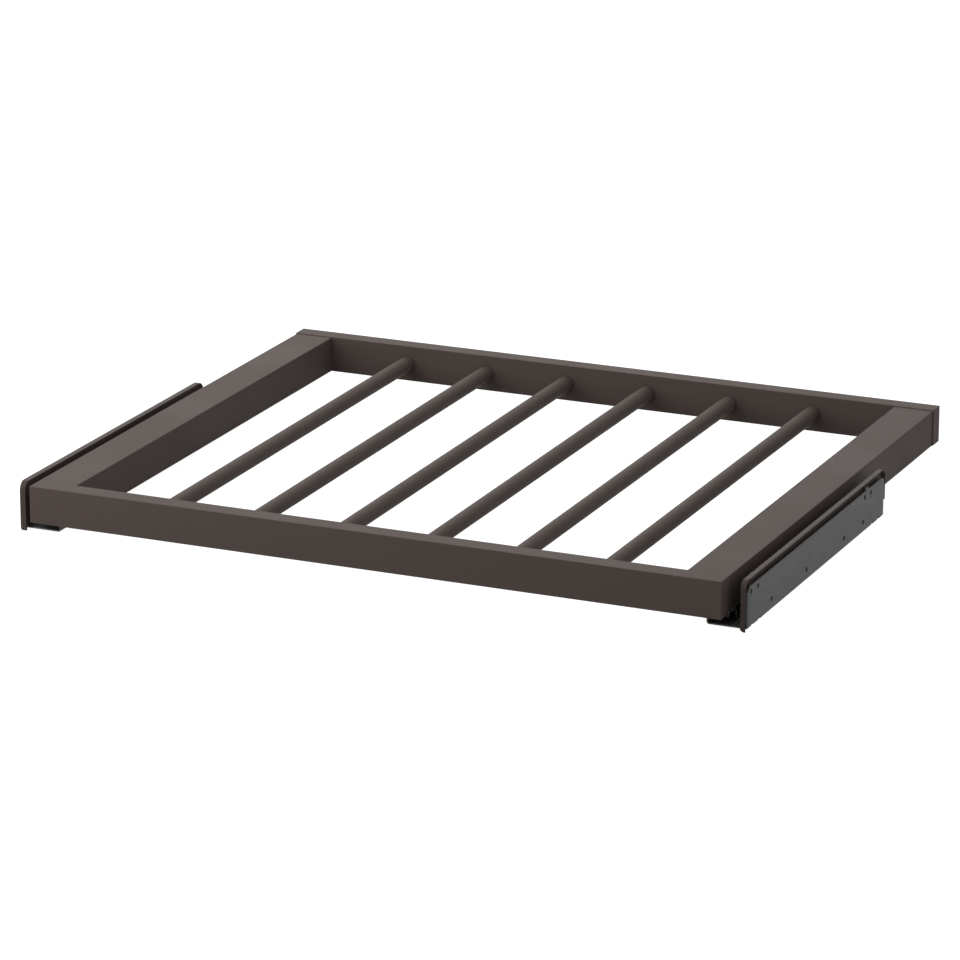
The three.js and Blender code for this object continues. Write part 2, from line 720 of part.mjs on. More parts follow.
// A ball cage: a hanging channel of thin sheet with a row of balls in each leg. It fits
// between the walls and webs of the member inside it and the one outside it.
function ballCage(name, innerWidth, innerTop) {
  const half = innerWidth / 2 + ballGap / 2 + CAGE_SHEET / 2;
  const top = innerTop + FIT_GAP + CAGE_SHEET;
  const path = [
    point(slideMiddle + half, cageBottom),
    point(slideMiddle + half, top),
    point(slideMiddle - half, top),
    point(slideMiddle - half, cageBottom),
  ];
  const cage = alongY(sheetSection(path, CAGE_SHEET), [cageFront, cageFront + cageLength]);
  const balls = [-1, 1].flatMap((side) =>
    Array.from({ length: BALLS_IN_ROW }, (_, i) =>
      new THREE.SphereGeometry(BALL_DIAMETER / 2, BALL_SIDES, BALL_RINGS).translate(
        slideMiddle + side * (half - CAGE_SHEET / 2),
        cageFront + ((i + 0.5) * cageLength) / BALLS_IN_ROW,
        ballLevel,
      ),
    ),
  );
  return piece(name, joined(cage, balls), ballSteel());
}

// The rubber stop behind the slide, on the flange's rear end.
function rearBuffer(name) {
  const half = middleMemberWidth / 2;
  const bottom = flangeTop + SEAM;
  const top = middleMemberTop;
  const front = bufferRear - BUFFER_LENGTH;
  const outline = new THREE.Shape([
    point(front, bottom),
    point(bufferRear, bottom),
    point(bufferRear, top - BUFFER_CHAMFER),
    point(bufferRear - BUFFER_CHAMFER, top),
    point(front, top),
  ]);
  return piece(name, alongX(outline, [slideMiddle - half, slideMiddle + half]), bufferRubber());
}

// A rivet through the cabinet member's web and the flange. Its heads fit inside the member.
function slideRivet(name, y) {
  const shank = RIVET_DIAMETER / 2;
  const head = CABINET_MEMBER_WIDTH / 2 - SLIDE_SHEET - FIT_GAP;
  const low = flangeBottom - SEAM;
  const high = cabinetMemberBottom + SLIDE_SHEET + SEAM;
  const rivet = turned([
    [0, low - RIVET_HEAD_HEIGHT],
    [head, low - RIVET_HEAD_HEIGHT],
    [head, low],
    [shank, low],
    [shank, high],
    [head, high],
    [head, high + RIVET_HEAD_HEIGHT],
    [0, high + RIVET_HEAD_HEIGHT],
  ]).rotateX(Math.PI / 2);
  const mesh = piece(name, rivet, zincSteel());
  mesh.position.set(slideMiddle, y, 0);
  return mesh;
}

// A low headed wood screw that holds the drawer member to the side rail, driven from below.
function railScrew(name, y) {
  const shank = RAIL_SCREW_DIAMETER / 2;
  const head = RAIL_SCREW_HEAD_DIAMETER / 2;
  const seat = drawerMemberTop - SLIDE_SHEET - SEAM;
  const tip = seat + RAIL_SCREW_LENGTH;
  const low = seat - RAIL_SCREW_HEAD_HEIGHT;
  const screw = turned([
    [0, low],
    [head, low],
    [head, seat],
    [shank, seat],
    [shank, tip - RAIL_SCREW_DIAMETER],
    [0, tip],
  ]).rotateX(Math.PI / 2);
  const slot = block(
    [-RAIL_SCREW_SLOT_WIDTH / 2, RAIL_SCREW_SLOT_WIDTH / 2],
    [-RAIL_SCREW_HEAD_DIAMETER, RAIL_SCREW_HEAD_DIAMETER],
    [low - OVERRUN, low + RAIL_SCREW_SLOT_DEPTH],
  );
  const mesh = piece(name, cut(screw, [slot]), zincSteel());
  mesh.position.set(slideMiddle, y, 0);
  return mesh;
}

// One runner; the left one is the mirror image of the right one.
function runner(side) {
  const group = new THREE.Group();
  group.add(
    wallBracket(side + "_wall_bracket"),
    runnerCover(side + "_runner_cover"),
    cabinetMember(side + "_cabinet_member"),
    middleMember(side + "_middle_member"),
    drawerMember(side + "_drawer_member"),
    ballCage(side + "_inner_ball_cage", CABINET_MEMBER_WIDTH, cabinetMemberTop),
    ballCage(side + "_outer_ball_cage", middleMemberWidth, middleMemberTop),
    rearBuffer(side + "_rear_buffer"),
  );
  rivetPlaces.forEach((y, i) => group.add(slideRivet(side + "_slide_rivet_" + (i + 1), y)));
  railScrewPlaces.forEach((y, i) => group.add(railScrew(side + "_rail_screw_" + (i + 1), y)));
  const mirror = side === "left" ? -1 : 1;
  group.scale.x = mirror;
  group.position.x = (mirror * FRAME_WIDTH) / 2;
  return group;
}

const pieces = new THREE.Group();
pieces.add(frame(), runner("left"), runner("right"));
pieces.position.set(0, -FRAME_DEPTH / 2, -coverBottom);

const trouserRack = new THREE.Group();
trouserRack.name = "trouser_rack";
trouserRack.add(pieces);

export default trouserRack;
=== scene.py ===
"""The visible pieces, finishes and studio of a pull out trouser rack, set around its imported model."""
import json
import math

import bmesh
import bpy
import numpy as np
from mathutils import Matrix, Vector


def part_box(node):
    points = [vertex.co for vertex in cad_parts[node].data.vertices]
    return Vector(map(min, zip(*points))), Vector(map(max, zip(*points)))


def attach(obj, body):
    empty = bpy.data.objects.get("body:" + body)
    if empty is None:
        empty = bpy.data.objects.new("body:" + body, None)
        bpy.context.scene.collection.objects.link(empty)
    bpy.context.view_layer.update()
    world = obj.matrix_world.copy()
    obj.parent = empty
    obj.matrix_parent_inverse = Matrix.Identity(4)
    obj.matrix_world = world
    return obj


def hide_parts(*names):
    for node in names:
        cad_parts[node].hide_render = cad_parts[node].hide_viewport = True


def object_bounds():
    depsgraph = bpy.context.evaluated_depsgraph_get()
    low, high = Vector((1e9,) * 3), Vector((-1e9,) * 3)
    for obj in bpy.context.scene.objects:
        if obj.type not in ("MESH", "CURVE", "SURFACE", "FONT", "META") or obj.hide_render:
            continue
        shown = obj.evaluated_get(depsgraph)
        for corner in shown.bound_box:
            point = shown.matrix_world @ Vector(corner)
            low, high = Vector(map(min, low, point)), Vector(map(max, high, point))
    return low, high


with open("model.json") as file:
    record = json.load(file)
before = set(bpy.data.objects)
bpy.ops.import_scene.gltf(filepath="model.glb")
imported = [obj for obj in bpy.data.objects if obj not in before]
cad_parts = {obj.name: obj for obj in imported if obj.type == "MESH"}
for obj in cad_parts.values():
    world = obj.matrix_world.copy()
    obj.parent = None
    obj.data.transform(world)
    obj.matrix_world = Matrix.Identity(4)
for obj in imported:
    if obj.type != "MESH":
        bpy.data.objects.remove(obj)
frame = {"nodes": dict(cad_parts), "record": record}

bl_info = {
    "name": "Pull out trouser rack",
    "version": (1, 0, 0),
    "blender": (4, 5, 0),
    "location": "3D View > Sidebar > Rack",
    "description": "Makes the boards, rods and runners of a pull out trouser rack, with a small studio",
    "category": "Object",
}

CAD_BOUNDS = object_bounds()
MM = 0.001
NODES = frame["nodes"]
BODY_OF = {
    node: body
    for body, members in frame["record"]["behaviour"]["bodies"].items()
    for node in members
}
HANDS = {"left": -1, "right": 1}

# Smoothness of round stretches, as steps in a quarter turn or faces in a full one
EDGE_STEPS = 6
BEND_STEPS = 6
CORNER_STEPS = 14
ROD_FACES = 96
SCREW_FACES = 60
HOLE_FACES = 48
BALL_FACES = 24
SOCKET_SIDES = 6
END_STRIP_STEPS = 8
SHARP_ANGLE = math.radians(32)

OVERRUN = 1 * MM  # how far a cutter stands out of what it cuts
WELD = 0.001 * MM  # points that lie closer are one
WEB_SKIN = 20 * WELD  # from a cover's web to the faces of its rim
FLOOR_GAP = 0.05 * MM  # from the floor up to the rack

# Where most of a noise's values lie, and where its patches change over
NOISE_RANGE = {"From Min": 0.3, "From Max": 0.7}
PATCH_RANGE = {"From Min": 0.35, "From Max": 0.65}


def linear(code):
    """The linear colour of a hex sRGB code."""
    shares = np.array([int(code[i : i + 2], 16) for i in (1, 3, 5)]) / 255
    return tuple(np.where(shares <= 0.04045, shares / 12.92, ((shares + 0.055) / 1.055) ** 2.4))


def number(name, value, description, **settings):
    """A number property, with its unit or subtype where it has one."""
    return bpy.props.FloatProperty(name=name, description=description, default=value, **settings)


def length(name, millimetres, description):
    """A length property whose default is given in millimetres."""
    kind = {"subtype": "DISTANCE", "unit": "LENGTH"}
    return number(name, millimetres * MM, description, min=0.0, precision=5, **kind)


def colour(name, code, description):
    """A colour property whose default is a hex sRGB code."""
    return bpy.props.FloatVectorProperty(
        name=name,
        description=description,
        default=linear(code),
        size=3,
        min=0.0,
        max=1.0,
        subtype="COLOR",
    )


class RackFrameSizes(bpy.types.PropertyGroup):
    """Sizes of the frame's pieces that their boxes don't give."""

    edge_rounding: length("Edge rounding", 0.6, "Radius of the boards' outer edges")
    hole_gap: length("Hole gap", 0.25, "Space round a rod or a dowel in its hole")
    rod_wall: length("Rod wall", 1.0, "Wall of the rods' tube")
    rod_chamfer: length("Rod chamfer", 0.3, "Chamfer at the rods' ends")
    screw_shank: length("Screw shank", 6.0, "Diameter of the frame screws")
    screw_head: length("Screw head", 3.0, "Height of a frame screw's head")
    screw_socket: length("Screw socket", 4.0, "Width across the flats of the hexagon socket")
    screw_socket_depth: length("Socket depth", 2.6, "Depth of the hexagon socket")
    screw_rim: length("Screw rim", 0.4, "Chamfer round a frame screw's head")


class RackRunnerSizes(bpy.types.PropertyGroup):
    """Sizes of the runners' pieces that their boxes don't give."""

    sheet: length("Bracket sheet", 1.2, "Thickness of the wall bracket's sheet")
    bend: length("Bracket bend", 2.5, "Outer radius of the wall bracket's folds")
    lip: length("Flange lip", 6.0, "Height of the lip along the flange")
    flange_setback: length("Flange setback", 1.8, "From the plate's ends to the flange's")
    plate_corner: length("Plate corner", 7.0, "Radius of the plate's upper corners")
    end_strip: length("Plate end strip", 7.0, "Length of the plate's set back ends")
    end_dip: length("Plate end dip", 0.45, "How far the plate's ends are set back")
    notch_width: length("Notch width", 7.0, "Width of the relief notches in the lower fold")
    notch_height: length("Notch height", 2.3, "Height of the relief notches in the lower fold")
    hole: length("Wall hole", 4.8, "Diameter of the plate's screw holes")
    hole_inset: length("Upper hole inset", 5.0, "From the plate's top edge to the upper holes")
    low_hole_inset: length("Lower hole inset", 10.6, "From the plate's lower edge to the lower holes")
    pilot_hole: length("Pilot hole", 1.6, "Diameter of the small holes under the upper ones")
    pilot_drop: length("Pilot hole drop", 3.6, "From an upper hole down to its pilot hole")
    tab_width: length("Hook tab width", 6.0, "Width of the tab that holds the cover")
    tab_height: length("Hook tab height", 3.0, "Height of the tab that holds the cover")
    cover_wall: length("Cover wall", 1.6, "Wall of the plastic cover")
    cover_corner: length("Cover corner", 8.5, "Radius of the cover's upper corners")
    cover_inner_edge: length("Cover inner edge", 0.8, "Rounding of the cover's rim towards the frame")
    cover_outer_edge: length("Cover outer edge", 0.35, "Rounding of the cover's rim towards the wall")
    cover_under_edge: length("Cover under edge", 0.45, "Rounding under the rim's outer edge")
    cover_rim: length("Cover rim", 8.0, "Depth of the rim that is drawn along the cover's outline")
    cover_seat: length("Cover seat", 1.8, "Thickness of the rim behind its outer wall")
    cover_flare: length("Cover flare", 0.8, "How much further out the left cover's rim reaches")
    cover_foot: length("Cover foot", 4.0, "Rounding of the right cover's foot, towards the frame")
    cover_toe: length("Cover toe", 1.6, "Width of the rounding of the left cover's foot")
    cover_toe_rise: length("Cover toe rise", 5.0, "Height of the rounding of the left cover's foot")
    cover_tail: length("Cover tail", 30.3, "Height of the cover's rear end")
    cover_hem: length("Cover hem", 2.6, "From the plate's rear end to the cover's web")
    rib_width: length("Rib width", 2.0, "Width of the ribs behind the cover's web")
    slide_sheet: length("Slide sheet", 1.0, "Thickness of the slide members' sheet")
    slide_bend: length("Slide bend", 1.25, "Outer radius of the slide members' folds")
    member_lip: length("Member lip", 1.2, "Turned in edge of the moving members")
    locating_lip: length("Locating lip", 4.55, "Height of the lip beside the side rail")
    catch_length: length("Catch length", 18.6, "Length of the catch at the locating lip's end")
    catch_reach: length("Catch reach", 2.0, "How far the catch's curve is pulled outwards")
    cage_sheet: length("Cage sheet", 0.6, "Thickness of the ball cages' sheet")
    ball: length("Ball", 1.8, "Diameter of the balls")
    ball_gap: length("Ball gap", 0.1, "Space between a ball and its window in the cage")
    rivet_shank: length("Rivet shank", 2.0, "Diameter of a rivet's shank")
    rivet_head: length("Rivet head", 0.6, "Height of a rivet's heads")
    rail_screw_shank: length("Rail screw shank", 3.5, "Diameter of a rail screw")
    rail_screw_head: length("Rail screw head", 0.7, "Height of a rail screw's head")
    rail_screw_slot: length("Rail screw slot", 0.9, "Width of the slot in a rail screw's head")
    rail_screw_slot_depth: length("Slot depth", 0.4, "Depth of the slot in a rail screw's head")
    buffer_chamfer: length("Buffer chamfer", 1.0, "Chamfer of the rubber buffers")


class RackColours(bpy.types.PropertyGroup):
    """Colours of the rack's finishes."""

    foil: colour("Foil", "#5a504c", "Foil of the boards")
    lacquer: colour("Lacquer", "#5d5450", "Lacquer of the rods")
    cover: colour("Cover", "#4e4542", "Plastic of the runner covers")
    bracket: colour("Bracket", "#535353", "Coating of the wall brackets")
    # Partly painted shade: the zinc is kept near black so that the slides' front ends under the front rail
    # show dark like the shade there
    zinc: colour("Zinc", "#262524", "Dark zinc of the slide members, screws and rivets")
    ball: colour("Ball", "#c8c8c6", "Polished steel of the balls")
    beech: colour("Beech", "#c9a271", "Beech of the dowels")
    rubber: colour("Rubber", "#2a2826", "Rubber of the buffers")
    floor: colour("Floor", "#959595", "Floor of the studio")


class RackStudio(bpy.types.PropertyGroup):
    """Camera and light of the studio."""

    place: bpy.props.FloatVectorProperty(
        name="Camera place",
        description="Where the camera stands",
        default=(1.78870, -4.08710, 1.41758),
        size=3,
        subtype="TRANSLATION",
        unit="LENGTH",
    )
    azimuth: number(
        "Azimuth",
        0.41587,
        "How far the camera stands round to the right",
        subtype="ANGLE",
        unit="ROTATION",
    )
    elevation: number(
        "Elevation", 0.30477, "How far the camera looks down", subtype="ANGLE", unit="ROTATION"
    )
    lens: number(
        "Lens",
        186.72,
        "Focal length in millimetres on a 36 millimetre sensor",
        subtype="DISTANCE_CAMERA",
    )
    key_power: number(
        "Key light", 19.2, "Power of the large soft lamp above and to the left", unit="POWER"
    )
    fill_power: number(
        "Fill light", 6.0, "Power of the low lamp in front and to the left", unit="POWER"
    )
    sheen_power: number(
        "Sheen light", 9.3, "Power of the small lamp behind and to the left", unit="POWER"
    )
    back_power: number("Back light", 8.4, "Power of the wide lamp behind", unit="POWER")
    ambient: number("Ambient", 0.51, "Strength of the even light from all round")
    floor_glow: number("Floor glow", 0.97, "White that the camera and mirrors see on the floor")


# Places along the wall plate, as shares of its length
UPPER_HOLE_SHARES = np.array([0.0223, 0.069, 0.849, 0.895])
PILOT_HOLE_SHARES = np.array([0.0195, 0.892])
LOWER_HOLE_SHARES = np.array([0.167, 0.416, 0.693, 0.839])
HOOK_TAB_SHARE = 0.881
NOTCH_SHARES = np.array([0.038, 0.085, 0.915, 0.962])
RIB_SHARES = np.array([0.125, 0.375, 0.625, 0.875])
BALL_SHARES = (np.arange(6) + 0.5) / 6
CAGE_LEG_SHARE = 0.8  # of a ball, from its middle to the cage's lower edge
CAGE_STRIP_SHARE = 0.9  # of the cage's sheet, which keeps the inside of its folds round


def nodes_with(part):
    """The names of the nodes whose name holds a part, in order."""
    return sorted(name for name in NODES if part in name)


def corners(node):
    """The lowest and highest corner of a node's box, as arrays."""
    low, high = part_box(node)
    return np.array(low), np.array(high)


def flat_centre(node, axis):
    """The middle of a node's box, seen along an axis."""
    low, high = corners(node)
    return np.delete((low + high) / 2, axis)


def mesh_from_rings(rings, ring_loop=False):
    """A closed mesh from a stack of rings, each a closed row of as many points. Neighbouring rings are
    joined with four sided faces. The stack closes on itself, or its two end rings become flat faces."""
    rings = np.asarray(rings, float)
    count, points = rings.shape[:2]
    index = np.arange(count * points).reshape(count, points)
    here = index if ring_loop else index[:-1]
    ahead = np.roll(index, -1, axis=0) if ring_loop else index[1:]
    sides = [here, np.roll(here, -1, axis=1), np.roll(ahead, -1, axis=1), ahead]
    faces = np.stack(sides, axis=-1).reshape(-1, 4).tolist()
    if not ring_loop:
        faces += [index[0, ::-1].tolist(), index[-1].tolist()]
    mesh = bpy.data.meshes.new("rings")
    mesh.from_pydata(rings.reshape(-1, 3).tolist(), [], faces)
    shape = bmesh.new()
    shape.from_mesh(mesh)
    bmesh.ops.remove_doubles(shape, verts=shape.verts, dist=WELD)
    bmesh.ops.dissolve_degenerate(shape, dist=WELD, edges=shape.edges)
    bmesh.ops.recalc_face_normals(shape, faces=shape.faces)
    shape.to_mesh(mesh)
    shape.free()
    return mesh


def piece_from(name, data):
    """A new object at the origin, with this mesh, lamp or camera."""
    piece = bpy.data.objects.new(name, data)
    bpy.context.scene.collection.objects.link(piece)
    return piece


def evaluate(piece):
    """Replaces a piece's mesh by what its modifiers make of it."""
    graph = bpy.context.evaluated_depsgraph_get()
    mesh = bpy.data.meshes.new_from_object(piece.evaluated_get(graph))
    piece.modifiers.clear()
    piece.data = mesh


def combine(piece, operation, meshes):
    """Cuts meshes out of a piece, joins them to it, or keeps what they share with it."""
    tools = [piece_from("tool", mesh) for mesh in meshes]
    for tool in tools:
        modifier = piece.modifiers.new("combine", "BOOLEAN")
        modifier.operation = operation
        modifier.solver = "EXACT"
        modifier.object = tool
    evaluate(piece)
    for tool in tools:
        bpy.data.objects.remove(tool)
    return piece


def rounded_rows(low, high, radii, steps):
    """Rows of rounded rectangles. Corner k of each is a quarter circle that starts at k quarter turns."""
    quarter = np.linspace(0, np.pi / 2, steps + 1)
    angles = quarter + np.arange(4)[:, None] * np.pi / 2
    circle = np.stack([np.cos(angles), np.sin(angles)], axis=-1)
    signs = np.array([[1, 1], [-1, 1], [-1, -1], [1, -1]])
    spread = radii[..., None]
    centre = np.where(signs > 0, high[:, None] - spread, low[:, None] + spread)
    points = centre[:, :, None] + radii[:, :, None, None] * circle
    return points.reshape(len(low), -1, 2)


def carried(rows, places, axes):
    """Rings in space from rows of flat points. axes names the axis that the rows are carried along and
    the two axes that the points lie in; places says where each row stands."""
    rings = np.empty((*rows.shape[:2], 3))
    rings[..., axes[0]] = np.asarray(places, float)[:, None]
    rings[..., axes[1]] = rows[..., 0]
    rings[..., axes[2]] = rows[..., 1]
    return rings


def prism(points, ends, axes):
    """A closed mesh from one flat outline, carried straight between two places."""
    rows = np.repeat(np.asarray(points, float)[None], 2, axis=0)
    return mesh_from_rings(carried(rows, ends, axes))


def block(low, high):
    """A box between two corners."""
    outline = rounded_rows(low[None, 1:], high[None, 1:], np.zeros((1, 4)), 1)[0]
    return prism(outline, (low[0], high[0]), (0, 1, 2))


def round_bar(centre, radius, ends, axis, faces=HOLE_FACES):
    """A cylinder along one axis: a circle about a flat centre, carried between two places."""
    angles = np.linspace(0, 2 * np.pi, faces, endpoint=False)
    circle = np.asarray(centre) + radius * np.stack([np.cos(angles), np.sin(angles)], axis=-1)
    return prism(circle, ends, (axis, *(a for a in range(3) if a != axis)))


def turned(centre, profile, axis, faces, ring_loop=False):
    """A turned mesh: each point of a profile, given as radius and place along the axis, goes once
    round the axis through a flat centre."""
    profile = np.asarray(profile, float)
    angles = np.linspace(0, 2 * np.pi, faces, endpoint=False)
    circle = np.stack([np.cos(angles), np.sin(angles)], axis=-1)
    rows = np.asarray(centre) + profile[:, 0, None, None] * circle
    flat = tuple(a for a in range(3) if a != axis)
    return mesh_from_rings(carried(rows, profile[:, 1], (axis, *flat)), ring_loop)


def board(low, high, along, rounding, square=()):
    """A board with round edges: a rounded rectangle carried along one axis. Towards an end it
    shrinks on a quarter circle. square names the faces, as axis and sign, that stay sharp edged."""
    across = tuple(a for a in range(3) if a != along)
    turn = np.linspace(0, np.pi / 2, EDGE_STEPS + 1)
    shrink, step = rounding * (1 - np.sin(turn)), rounding * (1 - np.cos(turn))
    flat = np.zeros(1)
    start = (flat, flat) if (along, -1) in square else (shrink, step)
    end = (flat, flat) if (along, 1) in square else (shrink, step)
    inset = np.concatenate([start[0], end[0][::-1]])
    places = np.concatenate([low[along] + start[1], high[along] - end[1][::-1]])
    sharp = {(a, s): (a, s) in square for a in across for s in (-1, 1)}
    lows = np.stack([low[a] + inset * (not sharp[a, -1]) for a in across], axis=-1)
    highs = np.stack([high[a] - inset * (not sharp[a, 1]) for a in across], axis=-1)
    turns = [(1, 1), (-1, 1), (-1, -1), (1, -1)]
    round_corner = [not (sharp[across[0], s] or sharp[across[1], t]) for s, t in turns]
    radii = (rounding - inset)[:, None] * np.array(round_corner, float)
    return mesh_from_rings(carried(rounded_rows(lows, highs, radii, EDGE_STEPS), places, (along, *across)))


def folded_rows(path, radius, sheet):
    """The section of a folded sheet. Its outer face follows a path whose corners are arcs of one
    radius; its inner face lies one thickness to the left, on arcs about the same centres."""
    path = np.asarray(path, float)
    ways = np.diff(path, axis=0)
    ways /= np.linalg.norm(ways, axis=1)[:, None]
    lefts = np.stack([-ways[:, 1], ways[:, 0]], axis=-1)
    outer = [path[:1]]
    inner = [path[:1] + sheet * lefts[:1]]
    for i, corner in enumerate(path[1:-1]):
        turn = math.acos(float(np.clip(ways[i] @ ways[i + 1], -1, 1)))
        centre = corner - ways[i] * radius * math.tan(turn / 2) + lefts[i] * radius
        start = math.atan2(-lefts[i, 1], -lefts[i, 0])
        angles = start + np.linspace(0, turn, BEND_STEPS + 1)
        circle = np.stack([np.cos(angles), np.sin(angles)], axis=-1)
        outer.append(centre + radius * circle)
        inner.append(centre + (radius - sheet) * circle)
    outer.append(path[-1:])
    inner.append(path[-1:] + sheet * lefts[-1:])
    return np.concatenate([*outer, *reversed([part[::-1] for part in inner])])


def shade(piece):
    """Smooths the round stretches, keeps the edges sharp and lets large faces set the normals."""
    piece.data.shade_smooth()
    piece.data.set_sharp_from_angle(angle=SHARP_ANGLE)
    modifier = piece.modifiers.new("normals", "WEIGHTED_NORMAL")
    modifier.mode = "FACE_AREA"
    modifier.weight = 50
    modifier.keep_sharp = True
    evaluate(piece)


def hand_over(piece, nodes, slot, hand="right"):
    """Mirrors a left hand piece, shades it, gives it its finish and lets it stand for its nodes."""
    if HANDS[hand] < 0:
        piece.data.transform(Matrix.Scale(-1, 4, (1, 0, 0)))
        piece.data.flip_normals()
    shade(piece)
    piece.data.materials.clear()
    piece.data.materials.append(finish_of(slot))
    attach(piece, BODY_OF[nodes[0]])
    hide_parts(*nodes)


def add_node(tree, kind, inputs=None, **settings):
    """Adds a node, with its settings, and fills its inputs with values or with other outputs."""
    made = tree.nodes.new(kind)
    for key, value in settings.items():
        setattr(made, key, value)
    for key, value in (inputs or {}).items():
        if isinstance(value, bpy.types.NodeSocket):
            tree.links.new(value, made.inputs[key])
        else:
            made.inputs[key].default_value = value
    return made


def start_material(name):
    """A new material without nodes, its node tree, and the rack's own coordinates in it."""
    material = bpy.data.materials.new(name)
    material.use_nodes = True
    tree = material.node_tree
    tree.nodes.clear()
    place = add_node(tree, "ShaderNodeTexCoord").outputs["Object"]
    return material, tree, place


def end_material(tree, inputs, rough, relief=None):
    """Joins the shader. rough is a pattern with the roughness where it is low and where it is high;
    relief is a pattern with the strength and the height of its bump."""
    pattern, smooth, dull = rough
    spread = add_node(
        tree, "ShaderNodeMapRange", {"Value": pattern, **NOISE_RANGE, "To Min": smooth, "To Max": dull}
    )
    inputs = {**inputs, "Roughness": spread.outputs["Result"]}
    if relief:
        pattern, strength, height = relief
        bump = add_node(
            tree, "ShaderNodeBump", {"Height": pattern, "Strength": strength, "Distance": height}
        )
        inputs["Normal"] = bump.outputs["Normal"]
    shader = add_node(tree, "ShaderNodeBsdfPrincipled", inputs)
    add_node(tree, "ShaderNodeOutputMaterial", {"Surface": shader.outputs["BSDF"]})


def toned(value, share):
    """A colour made lighter or darker by a share, with full opacity."""
    return (*(min(1.0, channel * share) for channel in value), 1.0)


def facing(tree):
    """How far the surface faces along X, Y and Z, from 0 to 1, either way round."""
    normal = add_node(tree, "ShaderNodeTexCoord").outputs["Normal"]
    size = add_node(tree, "ShaderNodeVectorMath", {0: normal}, operation="ABSOLUTE")
    return add_node(tree, "ShaderNodeSeparateXYZ", {"Vector": size.outputs["Vector"]}).outputs


def edge_highlight_and_wear(tree, grain):
    """How much of the painted edge highlight a place gets, and on folded sheet also how much wear, from 0 to
    1: nothing on the flat faces, and most where a round edge or a fold lies halfway between them. A noise
    breaks it up into patches."""
    along = facing(tree)
    flat = add_node(tree, "ShaderNodeMath", {0: along["X"], 1: along["Y"]}, operation="MAXIMUM")
    most = add_node(
        tree, "ShaderNodeMath", {0: flat.outputs["Value"], 1: along["Z"]}, operation="MAXIMUM"
    )
    edge = add_node(
        tree, "ShaderNodeMapRange", {"Value": most.outputs["Value"], "From Min": 0.97, "From Max": 0.75}
    )
    patches = add_node(tree, "ShaderNodeMapRange", {"Value": grain, **PATCH_RANGE, "To Min": 0.3})
    edge_share = add_node(
        tree,
        "ShaderNodeMath",
        {0: edge.outputs["Result"], 1: patches.outputs["Result"]},
        operation="MULTIPLY",
    )
    return edge_share.outputs["Value"]


def rail_foil(colours):
    """Melamine paper foil, rolled matt and wrapped round chipboard. To the eye it is an even dark
    grey brown with a soft sheen and a pore as fine as that of paper."""
    material, tree, place = start_material("rail_foil")
    # The print varies over hands' breadths, by a few parts in a hundred
    cloud = add_node(tree, "ShaderNodeTexNoise", {"Vector": place, "Scale": 1 / (70 * MM), "Detail": 3.0})
    # The emboss is 0.3 mm wide on the real foil; it is drawn at 1.2 mm so that it shows
    pore = add_node(tree, "ShaderNodeTexNoise", {"Vector": place, "Scale": 1 / (1.2 * MM), "Detail": 2.0})
    tone = add_node(
        tree,
        "ShaderNodeMix",
        {0: cloud.outputs["Fac"], 6: toned(colours.foil, 0.95), 7: toned(colours.foil, 1.05)},
        data_type="RGBA",
    )
    speck = add_node(tree, "ShaderNodeMapRange", {"Value": pore.outputs["Fac"], **PATCH_RANGE})
    fine = add_node(
        tree,
        "ShaderNodeMix",
        {0: speck.outputs["Result"], 6: (0.965, 0.965, 0.965, 1.0), 7: (1.035, 1.035, 1.035, 1.0)},
        data_type="RGBA",
    )
    both = add_node(
        tree,
        "ShaderNodeMix",
        {0: 1.0, 6: tone.outputs[2], 7: fine.outputs[2]},
        data_type="RGBA",
        blend_type="MULTIPLY",
    )
    # Painted highlight: the round edges are made a little paler, as if they caught the light
    painted_highlight = add_node(
        tree,
        "ShaderNodeMix",
        {0: edge_highlight_and_wear(tree, cloud.outputs["Fac"]), 6: both.outputs[2], 7: toned(colours.foil, 1.35)},
        data_type="RGBA",
    )
    end_material(
        tree,
        {"Base Color": painted_highlight.outputs[2], "IOR": 1.5, "Specular IOR Level": 0.04},
        rough=(cloud.outputs["Fac"], 0.5, 0.6),
        relief=(pore.outputs["Fac"], 0.12, 0.05 * MM),
    )
    return material


def rod_lacquer(colours):
    """Steel tube with a baked powder coat. It gives a satin line of light along the rod, slightly
    broken by the orange peel of the powder."""
    material, tree, place = start_material("rod_lacquer")
    # The waves of orange peel are 1 to 2 mm long; the coat's tone drifts over a few centimetres
    peel = add_node(tree, "ShaderNodeTexNoise", {"Vector": place, "Scale": 1 / (1.8 * MM), "Detail": 1.5})
    cloud = add_node(tree, "ShaderNodeTexNoise", {"Vector": place, "Scale": 1 / (45 * MM), "Detail": 2.0})
    tone = add_node(
        tree,
        "ShaderNodeMix",
        {0: cloud.outputs["Fac"], 6: toned(colours.lacquer, 0.95), 7: toned(colours.lacquer, 1.05)},
        data_type="RGBA",
    )
    end_material(
        tree,
        {"Base Color": tone.outputs[2], "IOR": 1.5, "Specular IOR Level": 0.04},
        rough=(peel.outputs["Fac"], 0.55, 0.63),
        relief=(peel.outputs["Fac"], 0.1, 0.06 * MM),
    )
    return material


def cover_plastic(colours):
    """ABS, injection moulded in a spark eroded tool. It gives an even matt skin with a fine grain."""
    material, tree, place = start_material("cover_plastic")
    # The eroded grain is 0.2 mm wide; it is drawn at 0.7 mm so that it shows
    grain = add_node(tree, "ShaderNodeTexNoise", {"Vector": place, "Scale": 1 / (0.7 * MM), "Detail": 2.0})
    tone = add_node(
        tree,
        "ShaderNodeMix",
        {0: grain.outputs["Fac"], 6: toned(colours.cover, 0.94), 7: toned(colours.cover, 1.06)},
        data_type="RGBA",
    )
    end_material(
        tree,
        {"Base Color": tone.outputs[2], "IOR": 1.53, "Specular IOR Level": 0.05},
        rough=(grain.outputs["Fac"], 0.42, 0.52),
        relief=(grain.outputs["Fac"], 0.2, 0.05 * MM),
    )
    return material


